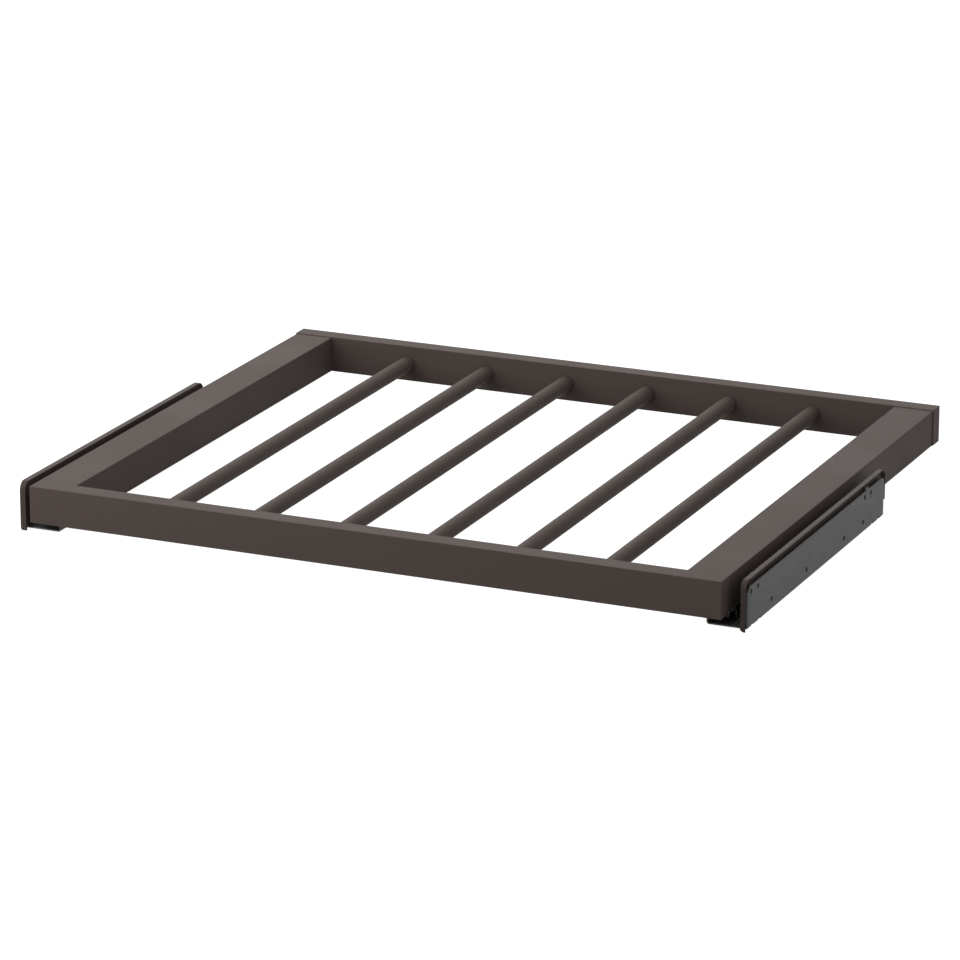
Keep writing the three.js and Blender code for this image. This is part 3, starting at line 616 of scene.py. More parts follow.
def bracket_steel(colours):
    """Cold rolled steel sheet, folded and dipped in a thin grey primer. It gives a flat neutral grey
    with faint marks along the rolling direction."""
    material, tree, place = start_material("bracket_steel")
    # Rolling marks are some 0.2 mm wide; they are drawn at 1 mm so that they show, and about thirty
    # times as long. The primer's thickness changes over centimetres
    along = add_node(tree, "ShaderNodeMapping", {"Vector": place, "Scale": (1.0, 0.03, 1.0)})
    streak = add_node(
        tree,
        "ShaderNodeTexNoise",
        {"Vector": along.outputs["Vector"], "Scale": 1 / (1.0 * MM), "Detail": 3.0},
    )
    cloud = add_node(tree, "ShaderNodeTexNoise", {"Vector": place, "Scale": 1 / (25 * MM), "Detail": 2.0})
    share = add_node(
        tree, "ShaderNodeMath", {0: streak.outputs["Fac"], 1: cloud.outputs["Fac"]}, operation="MULTIPLY"
    )
    spread = add_node(
        tree, "ShaderNodeMapRange", {"Value": share.outputs["Value"], "From Min": 0.1, "From Max": 0.4}
    )
    tone = add_node(
        tree,
        "ShaderNodeMix",
        {0: spread.outputs["Result"], 6: toned(colours.bracket, 0.93), 7: toned(colours.bracket, 1.07)},
        data_type="RGBA",
    )
    # Paler over the folds: partly the primer worn thin there, partly a painted highlight on the round folds
    thin = add_node(
        tree,
        "ShaderNodeMix",
        {0: edge_highlight_and_wear(tree, cloud.outputs["Fac"]), 6: tone.outputs[2], 7: toned(colours.bracket, 1.4)},
        data_type="RGBA",
    )
    # Painted highlight: the sheet's cut edges, which face along Y, or upwards where they lie above the
    # flange, are made over twice as pale, as if lit
    level = add_node(tree, "ShaderNodeSeparateXYZ", {"Vector": place}).outputs["Z"]
    raised = add_node(
        tree, "ShaderNodeMapRange", {"Value": level, "From Min": 20 * MM, "From Max": 30 * MM}
    )
    ways = facing(tree)
    upwards = add_node(
        tree, "ShaderNodeMath", {0: ways["Z"], 1: raised.outputs["Result"]}, operation="MULTIPLY"
    )
    either = add_node(
        tree, "ShaderNodeMath", {0: ways["Y"], 1: upwards.outputs["Value"]}, operation="MAXIMUM"
    )
    cut = add_node(
        tree, "ShaderNodeMapRange", {"Value": either.outputs["Value"], "From Min": 0.9, "From Max": 0.98}
    )
    cut_edge_highlight = add_node(
        tree,
        "ShaderNodeMix",
        {0: cut.outputs["Result"], 6: thin.outputs[2], 7: toned(colours.bracket, 2.2)},
        data_type="RGBA",
    )
    # Painted shade: where the sheet is hemmed in by itself within 2 mm, as on the walls of its holes, an
    # occlusion mask darkens it almost to black
    hemmed_in = add_node(tree, "ShaderNodeAmbientOcclusion", {"Distance": 2.0 * MM}, samples=8, only_local=True)
    clear = add_node(
        tree, "ShaderNodeMapRange", {"Value": hemmed_in.outputs["AO"], "From Min": 0.6, "From Max": 0.92}
    )
    hole_shaded = add_node(
        tree,
        "ShaderNodeMix",
        {0: clear.outputs["Result"], 6: toned(colours.bracket, 0.08), 7: cut_edge_highlight.outputs[2]},
        data_type="RGBA",
    )
    end_material(
        tree,
        {"Base Color": hole_shaded.outputs[2], "IOR": 1.5, "Specular IOR Level": 0.15},
        rough=(streak.outputs["Fac"], 0.42, 0.54),
        relief=(streak.outputs["Fac"], 0.08, 0.03 * MM),
    )
    return material


def zinc_steel(colours):
    """Rolled steel, zinc plated and passivated black, kept this dark partly as painted shade for the slides'
    front ends under the front rail. It gives a dark metal with fine lines along the roll."""
    material, tree, place = start_material("zinc_steel")
    # The lines of the roll are some 0.1 mm wide; they are drawn at 0.5 mm so that they show
    along = add_node(tree, "ShaderNodeMapping", {"Vector": place, "Scale": (1.0, 0.02, 1.0)})
    line = add_node(
        tree,
        "ShaderNodeTexNoise",
        {"Vector": along.outputs["Vector"], "Scale": 1 / (0.5 * MM), "Detail": 3.0},
    )
    tone = add_node(
        tree,
        "ShaderNodeMix",
        {0: line.outputs["Fac"], 6: toned(colours.zinc, 0.82), 7: toned(colours.zinc, 1.1)},
        data_type="RGBA",
    )
    # Painted glint: the top edges of the locating lips and their catches, between 16.4 and 16.8 mm up, are
    # made many times brighter
    level = add_node(tree, "ShaderNodeSeparateXYZ", {"Vector": place}).outputs["Z"]
    height = add_node(
        tree, "ShaderNodeMapRange", {"Value": level, "From Min": 16.4 * MM, "From Max": 16.8 * MM}
    )
    painted_highlight = add_node(
        tree,
        "ShaderNodeMix",
        {0: height.outputs["Result"], 6: tone.outputs[2], 7: toned(colours.zinc, 8.0)},
        data_type="RGBA",
    )
    end_material(
        tree,
        {"Base Color": painted_highlight.outputs[2], "Metallic": 1.0},
        rough=(line.outputs["Fac"], 0.28, 0.42),
        relief=(line.outputs["Fac"], 0.1, 0.02 * MM),
    )
    return material


def ball_steel(colours):
    """Hardened and polished bearing steel, with a film of grease that clouds it here and there."""
    material, tree, place = start_material("ball_steel")
    # The grease lies in patches wider than a ball, so that the balls differ
    film = add_node(tree, "ShaderNodeTexNoise", {"Vector": place, "Scale": 1 / (3 * MM), "Detail": 2.0})
    tone = add_node(
        tree,
        "ShaderNodeMix",
        {0: film.outputs["Fac"], 6: toned(colours.ball, 0.85), 7: toned(colours.ball, 1.1)},
        data_type="RGBA",
    )
    end_material(
        tree,
        {"Base Color": tone.outputs[2], "Metallic": 1.0},
        rough=(film.outputs["Fac"], 0.12, 0.3),
    )
    return material


def beech_wood(colours):
    """Turned beech, unfinished. It gives a pale brown with darker flecks along the dowel."""
    material, tree, place = start_material("beech")
    # Beech's flecks are under 1 mm wide and about a centimetre long
    along = add_node(tree, "ShaderNodeMapping", {"Vector": place, "Scale": (1.0, 0.08, 1.0)})
    fleck = add_node(
        tree,
        "ShaderNodeTexNoise",
        {"Vector": along.outputs["Vector"], "Scale": 1 / (0.8 * MM), "Detail": 4.0},
    )
    tone = add_node(
        tree,
        "ShaderNodeMix",
        {0: fleck.outputs["Fac"], 6: toned(colours.beech, 0.7), 7: toned(colours.beech, 1.15)},
        data_type="RGBA",
    )
    end_material(
        tree, {"Base Color": tone.outputs[2], "IOR": 1.5}, rough=(fleck.outputs["Fac"], 0.6, 0.75)
    )
    return material


def buffer_rubber(colours):
    """Moulded black rubber. It gives a dull skin with a soft bloom."""
    material, tree, place = start_material("buffer_rubber")
    # The bloom comes out in spots of about 2 mm
    bloom = add_node(tree, "ShaderNodeTexNoise", {"Vector": place, "Scale": 1 / (2 * MM), "Detail": 3.0})
    tone = add_node(
        tree,
        "ShaderNodeMix",
        {0: bloom.outputs["Fac"], 6: toned(colours.rubber, 0.8), 7: toned(colours.rubber, 1.3)},
        data_type="RGBA",
    )
    end_material(
        tree, {"Base Color": tone.outputs[2], "IOR": 1.52}, rough=(bloom.outputs["Fac"], 0.65, 0.85)
    )
    return material


FINISHES = {
    "rail_foil": rail_foil,
    "rod_lacquer": rod_lacquer,
    "cover_plastic": cover_plastic,
    "bracket_steel": bracket_steel,
    "zinc_steel": zinc_steel,
    "ball_steel": ball_steel,
    "beech": beech_wood,
    "buffer_rubber": buffer_rubber,
}


def finish_of(slot):
    """The material of a slot, made when it is first asked for."""
    for material in bpy.data.materials:
        if material.get("rack_finish") == slot:
            return material
    material = FINISHES[slot](bpy.context.scene.rack_colours)
    material["rack_finish"] = slot
    return material


def rod_holes(sizes, reach):
    """The holes that the rods sit in, on one side of the frame; reach picks the end."""
    holes = []
    for node in nodes_with("trouser_rod_"):
        low, high = corners(node)
        radius = (high[0] - low[0]) / 2 + sizes.hole_gap
        end = low[1] - sizes.hole_gap if reach < 0 else high[1] + sizes.hole_gap
        holes.append(round_bar(flat_centre(node, 1), radius, sorted((end, 0.0)), 1, ROD_FACES))
    return holes


def fastening_holes(kind, sizes, shank=None):
    """The holes of the corner dowels or frame screws, a little wider than what sits in them."""
    holes = []
    for node in nodes_with(kind):
        low, high = corners(node)
        radius = (shank or high[0] - low[0]) / 2 + sizes.hole_gap
        ends = (low[1] - sizes.hole_gap, high[1] + sizes.hole_gap)
        holes.append(round_bar(flat_centre(node, 1), radius, ends, 1))
    return holes


def screw_seats(sizes):
    """The flat bottomed seats of the frame screws' heads, open to the rear."""
    seats = []
    for node in nodes_with("frame_screw"):
        low, high = corners(node)
        radius = (high[0] - low[0]) / 2 + sizes.hole_gap
        ends = (high[1] - sizes.screw_head - sizes.hole_gap, high[1] + OVERRUN)
        seats.append(round_bar(flat_centre(node, 1), radius, ends, 1))
    return seats


def upright_holes(kind, shank, gap):
    """The holes of the right hand rivets or rail screws in what they hold."""
    holes = []
    for node in nodes_with(f"right_{kind}_"):
        low, high = corners(node)
        holes.append(round_bar(flat_centre(node, 2), shank / 2 + gap, (low[2], high[2]), 2))
    return holes


class RACK_OT_front_rail(bpy.types.Operator):
    """Make the front rail, a board with round edges in front and holes behind"""

    bl_idname = "rack.front_rail"
    bl_label = "Front rail"

    def execute(self, context):
        sizes = context.scene.rack_frame
        low, high = corners("front_rail")
        mesh = board(low, high, 0, sizes.edge_rounding, square={(1, 1)})
        piece = piece_from("front_rail_board", mesh)
        combine(piece, "DIFFERENCE", rod_holes(sizes, -1) + fastening_holes("corner_dowel", sizes))
        hand_over(piece, ["front_rail"], "rail_foil")
        return {"FINISHED"}


class RACK_OT_side_rails(bpy.types.Operator):
    """Make the two side rails, wide flat boards with round long edges"""

    bl_idname = "rack.side_rails"
    bl_label = "Side rails"

    def execute(self, context):
        sizes = context.scene.rack_frame
        runner = context.scene.rack_runner
        holes = fastening_holes("corner_dowel", sizes)
        holes += fastening_holes("frame_screw", sizes, sizes.screw_shank)
        for hand in HANDS:
            low, high = corners(f"{hand}_side_rail")
            mesh = board(low, high, 1, sizes.edge_rounding, square={(1, -1), (1, 1)})
            piece = piece_from(f"{hand}_side_rail_board", mesh)
            screws = [
                round_bar(
                    flat_centre(node, 2),
                    runner.rail_screw_shank / 2 + sizes.hole_gap,
                    (low[2] - OVERRUN, corners(node)[1][2] + sizes.hole_gap),
                    2,
                )
                for node in nodes_with(f"{hand}_rail_screw_")
            ]
            combine(piece, "DIFFERENCE", [hole.copy() for hole in holes] + screws)
            hand_over(piece, [f"{hand}_side_rail"], "rail_foil")
        return {"FINISHED"}


class RACK_OT_back_board(bpy.types.Operator):
    """Make the back board, with holes for the rods in front and seats for the screws behind"""

    bl_idname = "rack.back_board"
    bl_label = "Back board"

    def execute(self, context):
        sizes = context.scene.rack_frame
        low, high = corners("back_board")
        piece = piece_from("back_board_panel", board(low, high, 0, sizes.edge_rounding))
        holes = rod_holes(sizes, 1) + screw_seats(sizes)
        holes += fastening_holes("frame_screw", sizes, sizes.screw_shank)
        combine(piece, "DIFFERENCE", holes)
        hand_over(piece, ["back_board"], "rail_foil")
        return {"FINISHED"}


class RACK_OT_rods(bpy.types.Operator):
    """Make the rods, lengths of lacquered tube"""

    bl_idname = "rack.rods"
    bl_label = "Rods"

    def execute(self, context):
        sizes = context.scene.rack_frame
        chamfer = sizes.rod_chamfer
        for node in nodes_with("trouser_rod_"):
            low, high = corners(node)
            outer = (high[0] - low[0]) / 2
            inner = outer - sizes.rod_wall
            front, rear = low[1], high[1]
            wall = [
                (inner, front),
                (outer - chamfer, front),
                (outer, front + chamfer),
                (outer, rear - chamfer),
                (outer - chamfer, rear),
                (inner, rear),
            ]
            mesh = turned(flat_centre(node, 1), wall, 1, ROD_FACES, ring_loop=True)
            piece = piece_from(f"{node}_tube", mesh)
            hand_over(piece, [node], "rod_lacquer")
        return {"FINISHED"}


class RACK_OT_dowels(bpy.types.Operator):
    """Give the hidden corner dowels their beech finish"""

    bl_idname = "rack.dowels"
    bl_label = "Corner dowels"

    def execute(self, context):
        for node in nodes_with("corner_dowel"):
            slots = NODES[node].data.materials
            slots.clear()
            slots.append(finish_of("beech"))
        return {"FINISHED"}


class RACK_OT_frame_screws(bpy.types.Operator):
    """Make the screws behind the back board, with a flat head and a hexagon socket"""

    bl_idname = "rack.frame_screws"
    bl_label = "Frame screws"

    def execute(self, context):
        sizes = context.scene.rack_frame
        shank, rim = sizes.screw_shank / 2, sizes.screw_rim
        corner = sizes.screw_socket / 2 / math.cos(math.pi / SOCKET_SIDES)
        for node in nodes_with("frame_screw"):
            low, high = corners(node)
            head, top = (high[0] - low[0]) / 2, high[1]
            under = top - sizes.screw_head
            profile = [
                (0.0, low[1]),
                (shank, low[1] + 2 * shank),  # the point is as long as the shank is wide
                (shank, under),
                (head - rim, under),
                (head, under + rim),
                (head, top - rim),
                (head - rim, top),
                (0.0, top),
            ]
            centre = flat_centre(node, 1)
            piece = piece_from(f"{node}_turned", turned(centre, profile, 1, SCREW_FACES))
            ends = (top - sizes.screw_socket_depth, top + OVERRUN)
            socket = round_bar(centre, corner, ends, 1, SOCKET_SIDES)
            combine(piece, "DIFFERENCE", [socket])
            hand_over(piece, [node], "zinc_steel")
        return {"FINISHED"}


def bracket_sheet(sizes):
    """The right hand wall bracket: a folded sheet with its plate's ends set back, not yet trimmed."""
    low, high = corners("right_wall_bracket")
    top = high[2] - sizes.tab_height
    path = [
        (low[0], low[2] + sizes.lip),
        (low[0], low[2]),
        (high[0], low[2]),
        (high[0], top),
    ]
    section = folded_rows(path, sizes.bend, sizes.sheet)
    steps = np.linspace(0, sizes.end_strip, END_STRIP_STEPS + 1)
    places = np.concatenate([low[1] + steps, high[1] - steps[::-1]])
    rings = carried(np.repeat(section[None], len(places), axis=0), places, (1, 0, 2))
    from_end = np.minimum(places - low[1], high[1] - places)
    dip = sizes.end_dip * np.clip(1 - from_end / sizes.end_strip, 0, 1) ** 2
    on_plate = (section[:, 0] > high[0] - sizes.bend) * np.clip((section[:, 1] - low[2]) / sizes.bend, 0, 1)
    rings[..., 0] -= dip[:, None] * on_plate
    return piece_from("bracket", mesh_from_rings(rings)), low, high, top


def plate_outline(low, high, top, sizes):
    """The side view that the bracket is trimmed to: a rectangle with two round upper corners."""
    radii = np.array([[1.0, 1.0, 0.0, 0.0]]) * sizes.plate_corner
    lows = np.array([[low[1], low[2] - OVERRUN]])
    highs = np.array([[high[1], top]])
    outline = rounded_rows(lows, highs, radii, CORNER_STEPS)[0]
    return prism(outline, (low[0] - OVERRUN, high[0] + OVERRUN), (0, 1, 2))


def plate_cuts(low, high, top, sizes):
    """Holes, relief notches and flange ends of the right hand bracket."""
    run = high[1] - low[1]
    through = (high[0] - 3 * sizes.sheet, high[0] + OVERRUN)
    levels = [
        (UPPER_HOLE_SHARES, top - sizes.hole_inset, sizes.hole),
        (LOWER_HOLE_SHARES, low[2] + sizes.low_hole_inset, sizes.hole),
        (PILOT_HOLE_SHARES, top - sizes.hole_inset - sizes.pilot_drop, sizes.pilot_hole),
    ]
    cuts = [
        round_bar((low[1] + share * run, level), diameter / 2, through, 0)
        for shares, level, diameter in levels
        for share in shares
    ]
    for share in NOTCH_SHARES:
        middle = low[1] + share * run
        cuts.append(
            block(
                np.array([high[0] - 2 * sizes.bend, middle - sizes.notch_width / 2, low[2] - OVERRUN]),
                np.array([high[0] + OVERRUN, middle + sizes.notch_width / 2, low[2] + sizes.notch_height]),
            )
        )
    for start, end in (
        (low[1] - OVERRUN, low[1] + sizes.flange_setback),
        (high[1] - sizes.flange_setback, high[1] + OVERRUN),
    ):
        cuts.append(
            block(
                np.array([low[0] - OVERRUN, start, low[2] - OVERRUN]),
                np.array([high[0] - sizes.sheet, end, low[2] + sizes.lip + OVERRUN]),
            )
        )
    return cuts


class RACK_OT_wall_brackets(bpy.types.Operator):
    """Make the two wall brackets, folded from sheet, with their holes, notches and hook tab"""

    bl_idname = "rack.wall_brackets"
    bl_label = "Wall brackets"

    def execute(self, context):
        sizes = context.scene.rack_runner
        for hand in HANDS:
            piece, low, high, top = bracket_sheet(sizes)
            piece.name = f"{hand}_bracket_sheet"
            combine(piece, "INTERSECT", [plate_outline(low, high, top, sizes)])
            run = high[1] - low[1] - 2 * sizes.plate_corner
            y = low[1] + sizes.plate_corner + HOOK_TAB_SHARE * run
            tab = block(
                np.array([high[0] - sizes.sheet, y - sizes.tab_width / 2, top - sizes.plate_corner]),
                np.array([high[0], y + sizes.tab_width / 2, high[2]]),
            )
            combine(piece, "UNION", [tab])
            combine(piece, "DIFFERENCE", plate_cuts(low, high, top, sizes))
            hand_over(piece, [f"{hand}_wall_bracket"], "bracket_steel", hand)
        return {"FINISHED"}


def cover_path(low, high, sizes):
    """The cover's outline from its foot up, over the top and down to its tail, as places and the
    outward directions there."""
    corner = sizes.cover_corner
    turn = np.linspace(0, np.pi / 2, CORNER_STEPS + 1)
    quarter = np.stack([-np.cos(turn), np.sin(turn)], axis=-1)
    front_centre = np.array([low[1] + corner, high[2] - corner])
    rear_centre = np.array([high[1] - corner, high[2] - corner])
    rear_quarter = np.stack([np.sin(turn), np.cos(turn)], axis=-1)
    places = np.concatenate(
        [
            [[low[1], low[2]]],
            front_centre + corner * quarter,
            rear_centre + corner * rear_quarter,
            [[high[1], high[2] - sizes.cover_tail]],
        ]
    )
    outward = np.concatenate([[[-1.0, 0.0]], quarter, rear_quarter, [[1.0, 0.0]]])
    return places, outward


def rim_section(low, high, sizes):
    """The section of the cover's rim, as places across and depths below the outline: a wall with a
    round inner edge, a thin outer edge that is round above and below, and a thick stretch of web."""
    wall, inner, outer = sizes.cover_wall, sizes.cover_inner_edge, sizes.cover_outer_edge
    under, seat = sizes.cover_under_edge, low[0] + sizes.cover_seat
    turn = np.linspace(0, np.pi / 2, EDGE_STEPS + 1)
    inner_edge = np.stack([low[0] + inner * (1 - np.cos(turn)), inner * (1 - np.sin(turn))], axis=-1)
    outer_edge = np.stack([high[0] - outer * (1 - np.sin(turn)), outer * (1 - np.cos(turn))], axis=-1)
    under_edge = np.stack([high[0] - under * (1 - np.cos(turn)), outer + under * np.sin(turn)], axis=-1)
    return np.concatenate(
        [
            [[low[0], sizes.cover_rim]],
            inner_edge,
            outer_edge,
            under_edge[1:],
            [[seat, wall], [seat, sizes.cover_rim]],
        ]
    )


def cover_web(low, high, plate, bottom, sizes):
    """The thin web beside the plate: a flat outline that overlaps the rim, with a stepped lower end.
    Its two faces lie a hair inside the rim's, so that the two shells cross cleanly."""
    wall, rim = sizes.cover_wall, sizes.cover_rim
    inset = (wall + rim) / 2
    rear = plate[1][1] - sizes.cover_hem
    tail = high[2] - sizes.cover_tail
    outline = [
        (low[1] + wall / 2, bottom),
        (rear, bottom),
        (rear, tail),
        (high[1] - wall / 2, tail),
        (high[1] - wall / 2, high[2] - sizes.cover_corner),
        (high[1] - sizes.cover_corner, high[2] - inset),
        (low[1] + sizes.cover_corner, high[2] - inset),
        (low[1] + wall / 2, high[2] - sizes.cover_corner),
    ]
    return prism(outline, (low[0] + WEB_SKIN, low[0] + wall - WEB_SKIN), (0, 1, 2))


def foot_rounding(low, high, sizes, hand):
    """What is taken off the lower corner of the foot: the space outside a quarter of an ellipse. The
    two covers' feet are cut the same way round, so it lies inwards on the right cover, where the
    ellipse is a circle, and outwards on the left one."""
    start, towards = (low[0], 1) if HANDS[hand] > 0 else (high[0], -1)
    width, rise = sizes.cover_foot, sizes.cover_foot
    if HANDS[hand] < 0:
        width, rise = sizes.cover_toe, sizes.cover_toe_rise
    turn = np.linspace(0, np.pi / 2, CORNER_STEPS + 1)
    arc = np.stack(
        [start + towards * width * (1 - np.sin(turn)), low[2] + rise * (1 - np.cos(turn))], axis=-1
    )
    outside = start - towards * OVERRUN
    below = low[2] - OVERRUN
    ends = [[outside, below], [start + towards * width, below]]
    outline = np.concatenate([ends, arc, [[outside, low[2] + rise]]])
    return prism(outline, (low[1] - OVERRUN, low[1] + 2 * sizes.cover_rim), (1, 0, 2))


def cover_shell(sizes, hand):
    """The right hand cover: its rim carried along the outline, joined to its web and ribs."""
    low, high = corners("right_runner_cover")
    if HANDS[hand] < 0:
        high[0] += sizes.cover_flare
    plate = corners("right_wall_bracket")
    web_bottom = plate[0][2] + sizes.sheet + sizes.slide_sheet / 4  # just above the flange
    places, outward = cover_path(low, high, sizes)
    section = rim_section(low, high, sizes)
    across = np.broadcast_to(section[:, 0], (len(places), len(section)))
    sunk = places[:, None] - section[:, 1, None] * outward[:, None]
    rings = np.concatenate([across[..., None], sunk], axis=-1)
    piece = piece_from("cover", mesh_from_rings(rings))
    behind_foot = block(
        np.array([low[0] - OVERRUN, low[1] + sizes.cover_wall, low[2] - OVERRUN]),
        np.array([high[0] + OVERRUN, low[1] + 2 * sizes.cover_rim, web_bottom]),
    )
    combine(piece, "DIFFERENCE", [behind_foot, foot_rounding(low, high, sizes, hand)])
    run = plate[1][1] - plate[0][1]
    rib_top = plate[1][2] - sizes.tab_height - sizes.plate_corner
    rib_end = plate[1][0] - 1.25 * sizes.sheet  # just short of the plate's inner face
    ribs = [
        block(
            np.array([low[0] + sizes.cover_wall / 2, y - sizes.rib_width / 2, web_bottom + OVERRUN]),
            np.array([rib_end, y + sizes.rib_width / 2, rib_top]),
        )
        for y in plate[0][1] + RIB_SHARES * run
    ]
    return combine(piece, "UNION", [cover_web(low, high, plate, web_bottom, sizes), *ribs])


class RACK_OT_runner_covers(bpy.types.Operator):
    """Make the two plastic covers that clip over the wall plates"""

    bl_idname = "rack.runner_covers"
    bl_label = "Runner covers"

    def execute(self, context):
        sizes = context.scene.rack_runner
        for hand in HANDS:
            piece = cover_shell(sizes, hand)
            piece.name = f"{hand}_cover_shell"
            hand_over(piece, [f"{hand}_runner_cover"], "cover_plastic", hand)
        return {"FINISHED"}


def hanging_channel(low, high, middle, width, sizes):
    """A channel that hangs open, with turned in lower edges, as a folded section carried along Y."""
    left, right = middle - width / 2, middle + width / 2
    lip = sizes.slide_sheet + sizes.member_lip
    path = [(right - lip, low[2]), (right, low[2]), (right, high[2]), (left, high[2]), (left, low[2])]
    path.append((left + lip, low[2]))
    section = folded_rows(path, sizes.slide_bend, sizes.slide_sheet)
    return prism(section, (low[1], high[1]), (1, 0, 2))


def locating_lip(low, high, outer, top, sizes):
    """The lip beside the side rail: a thin strip whose front end swells into a round catch, after a
    cubic curve with four points."""
    inner = outer - sizes.slide_sheet
    reach, span, front = sizes.catch_reach, sizes.catch_length, low[1]
    ends = np.array(
        [
            (outer, front),
            (outer + reach, front),
            (outer + 2 * reach, front + span / 2),
            (outer, front + span),
        ]
    )
    t = np.linspace(0, 1, CORNER_STEPS * 2)[:, None]
    curve = (
        (1 - t) ** 3 * ends[0]
        + 3 * t * (1 - t) ** 2 * ends[1]
        + 3 * t**2 * (1 - t) * ends[2]
        + t**3 * ends[3]
    )
    outline = np.concatenate([curve, [(outer, high[1]), (inner, high[1]), (inner, front)]])
    return prism(outline, (top, high[2]), (2, 0, 1))


class RACK_OT_slide_members(bpy.types.Operator):
    """Make the three members of each slide, channels rolled from zinc plated sheet"""

    bl_idname = "rack.slide_members"
    bl_label = "Slide members"

    def execute(self, context):
        sizes = context.scene.rack_runner
        gap = context.scene.rack_frame.hole_gap
        for hand in HANDS:
            low, high = corners("right_cabinet_member")
            middle = (low[0] + high[0]) / 2
            path = [(low[0], high[2]), (low[0], low[2]), (high[0], low[2]), (high[0], high[2])]
            section = folded_rows(path, sizes.slide_bend, sizes.slide_sheet)
            fixed = piece_from(f"{hand}_cabinet_channel", prism(section, (low[1], high[1]), (1, 0, 2)))
            combine(fixed, "DIFFERENCE", upright_holes("slide_rivet", sizes.rivet_shank, gap))
            hand_over(fixed, [f"{hand}_cabinet_member"], "zinc_steel", hand)

            low, high = corners("right_middle_member")
            channel = hanging_channel(low, high, middle, high[0] - low[0], sizes)
            between = piece_from(f"{hand}_middle_channel", channel)
            hand_over(between, [f"{hand}_middle_member"], "zinc_steel", hand)

            low, high = corners("right_drawer_member")
            front = np.array([low[0], corners("right_cabinet_member")[0][1], low[2]])
            top = np.array([high[0], high[1], high[2] - sizes.locating_lip + sizes.slide_sheet])
            width = 2 * (middle - low[0])
            drawer = piece_from(f"{hand}_drawer_channel", hanging_channel(front, top, middle, width, sizes))
            lip = locating_lip(low, high, middle + width / 2, top[2] - sizes.slide_sheet, sizes)
            combine(drawer, "UNION", [lip])
            combine(drawer, "DIFFERENCE", upright_holes("rail_screw", sizes.rail_screw_shank, gap))
            hand_over(drawer, [f"{hand}_drawer_member"], "zinc_steel", hand)
        return {"FINISHED"}


def sphere(centre, radius):
    """A ball, as rings of latitude about a point."""
    tilt = np.linspace(-np.pi / 2, np.pi / 2, BALL_FACES // 2 + 1)
    profile = np.stack([radius * np.cos(tilt), centre[1] + radius * np.sin(tilt)], axis=-1)
    profile[[0, -1], 0] = 0.0
    return turned((centre[0], centre[2]), profile, 1, BALL_FACES)


class RACK_OT_ball_cages(bpy.types.Operator):
    """Make the ball cages, thin channels with a row of windows and balls in each leg"""

    bl_idname = "rack.ball_cages"
    bl_label = "Ball cages"

    def execute(self, context):
        sizes = context.scene.rack_runner
        sunk = (sizes.ball - sizes.cage_sheet) / 2
        for hand in HANDS:
            for kind in ("inner", "outer"):
                low, high = corners(f"right_{kind}_ball_cage")
                left, right = low[0] + sunk, high[0] - sunk
                path = [(right, low[2]), (right, high[2]), (left, high[2]), (left, low[2])]
                section = folded_rows(path, sizes.cage_sheet, sizes.cage_sheet * CAGE_STRIP_SHARE)
                name = f"{hand}_{kind}_cage_strip"
                piece = piece_from(name, prism(section, (low[1], high[1]), (1, 0, 2)))
                level = low[2] + sizes.ball * CAGE_LEG_SHARE
                centres = [
                    np.array([x, low[1] + share * (high[1] - low[1]), level])
                    for x in (low[0] + sizes.ball / 2, high[0] - sizes.ball / 2)
                    for share in BALL_SHARES
                ]
                windows = [sphere(centre, sizes.ball / 2 + sizes.ball_gap) for centre in centres]
                combine(piece, "DIFFERENCE", windows)
                combine(piece, "UNION", [sphere(centre, sizes.ball / 2) for centre in centres])
                hand_over(piece, [f"{hand}_{kind}_ball_cage"], "ball_steel", hand)
        return {"FINISHED"}


class RACK_OT_buffers(bpy.types.Operator):
    """Make the rubber buffers behind the slides"""

    bl_idname = "rack.buffers"
    bl_label = "Rear buffers"

    def execute(self, context):
        sizes = context.scene.rack_runner
        chamfer = sizes.buffer_chamfer
        for hand in HANDS:
            low, high = corners("right_rear_buffer")
            outline = [
                (low[1], low[2]),
                (high[1], low[2]),
                (high[1], high[2] - chamfer),
                (high[1] - chamfer, high[2]),
                (low[1], high[2]),
            ]
            piece = piece_from(f"{hand}_buffer_block", prism(outline, (low[0], high[0]), (0, 1, 2)))
            bevel = piece.modifiers.new("moulded_edges", "BEVEL")
            bevel.width = chamfer / 3
            bevel.segments = 3
            evaluate(piece)
            hand_over(piece, [f"{hand}_rear_buffer"], "buffer_rubber", hand)
        return {"FINISHED"}


class RACK_OT_rivets(bpy.types.Operator):
    """Make the rivets that hold the cabinet members to the brackets"""

    bl_idname = "rack.rivets"
    bl_label = "Slide rivets"

    def execute(self, context):
        sizes = context.scene.rack_runner
        turn = np.linspace(0, np.pi / 2, EDGE_STEPS + 1)
        for hand in HANDS:
            for i in (1, 2):
                low, high = corners(f"right_slide_rivet_{i}")
                head, shank, height = (high[0] - low[0]) / 2, sizes.rivet_shank / 2, sizes.rivet_head
                lower = np.stack([head * np.sin(turn), low[2] + height * (1 - np.cos(turn))], axis=-1)
                upper = np.stack([head * np.cos(turn), high[2] - height * (1 - np.sin(turn))], axis=-1)
                neck = [(shank, low[2] + height), (shank, high[2] - height)]
                lower[0, 0] = 0.0
                upper[-1, 0] = 0.0
                profile = np.concatenate([lower, neck, upper])
                mesh = turned(flat_centre(f"right_slide_rivet_{i}", 2), profile, 2, SCREW_FACES)
                piece = piece_from(f"{hand}_rivet_{i}_turned", mesh)
                node = f"{hand}_slide_rivet_{i}"
                hand_over(piece, [node], "zinc_steel", hand)
        return {"FINISHED"}


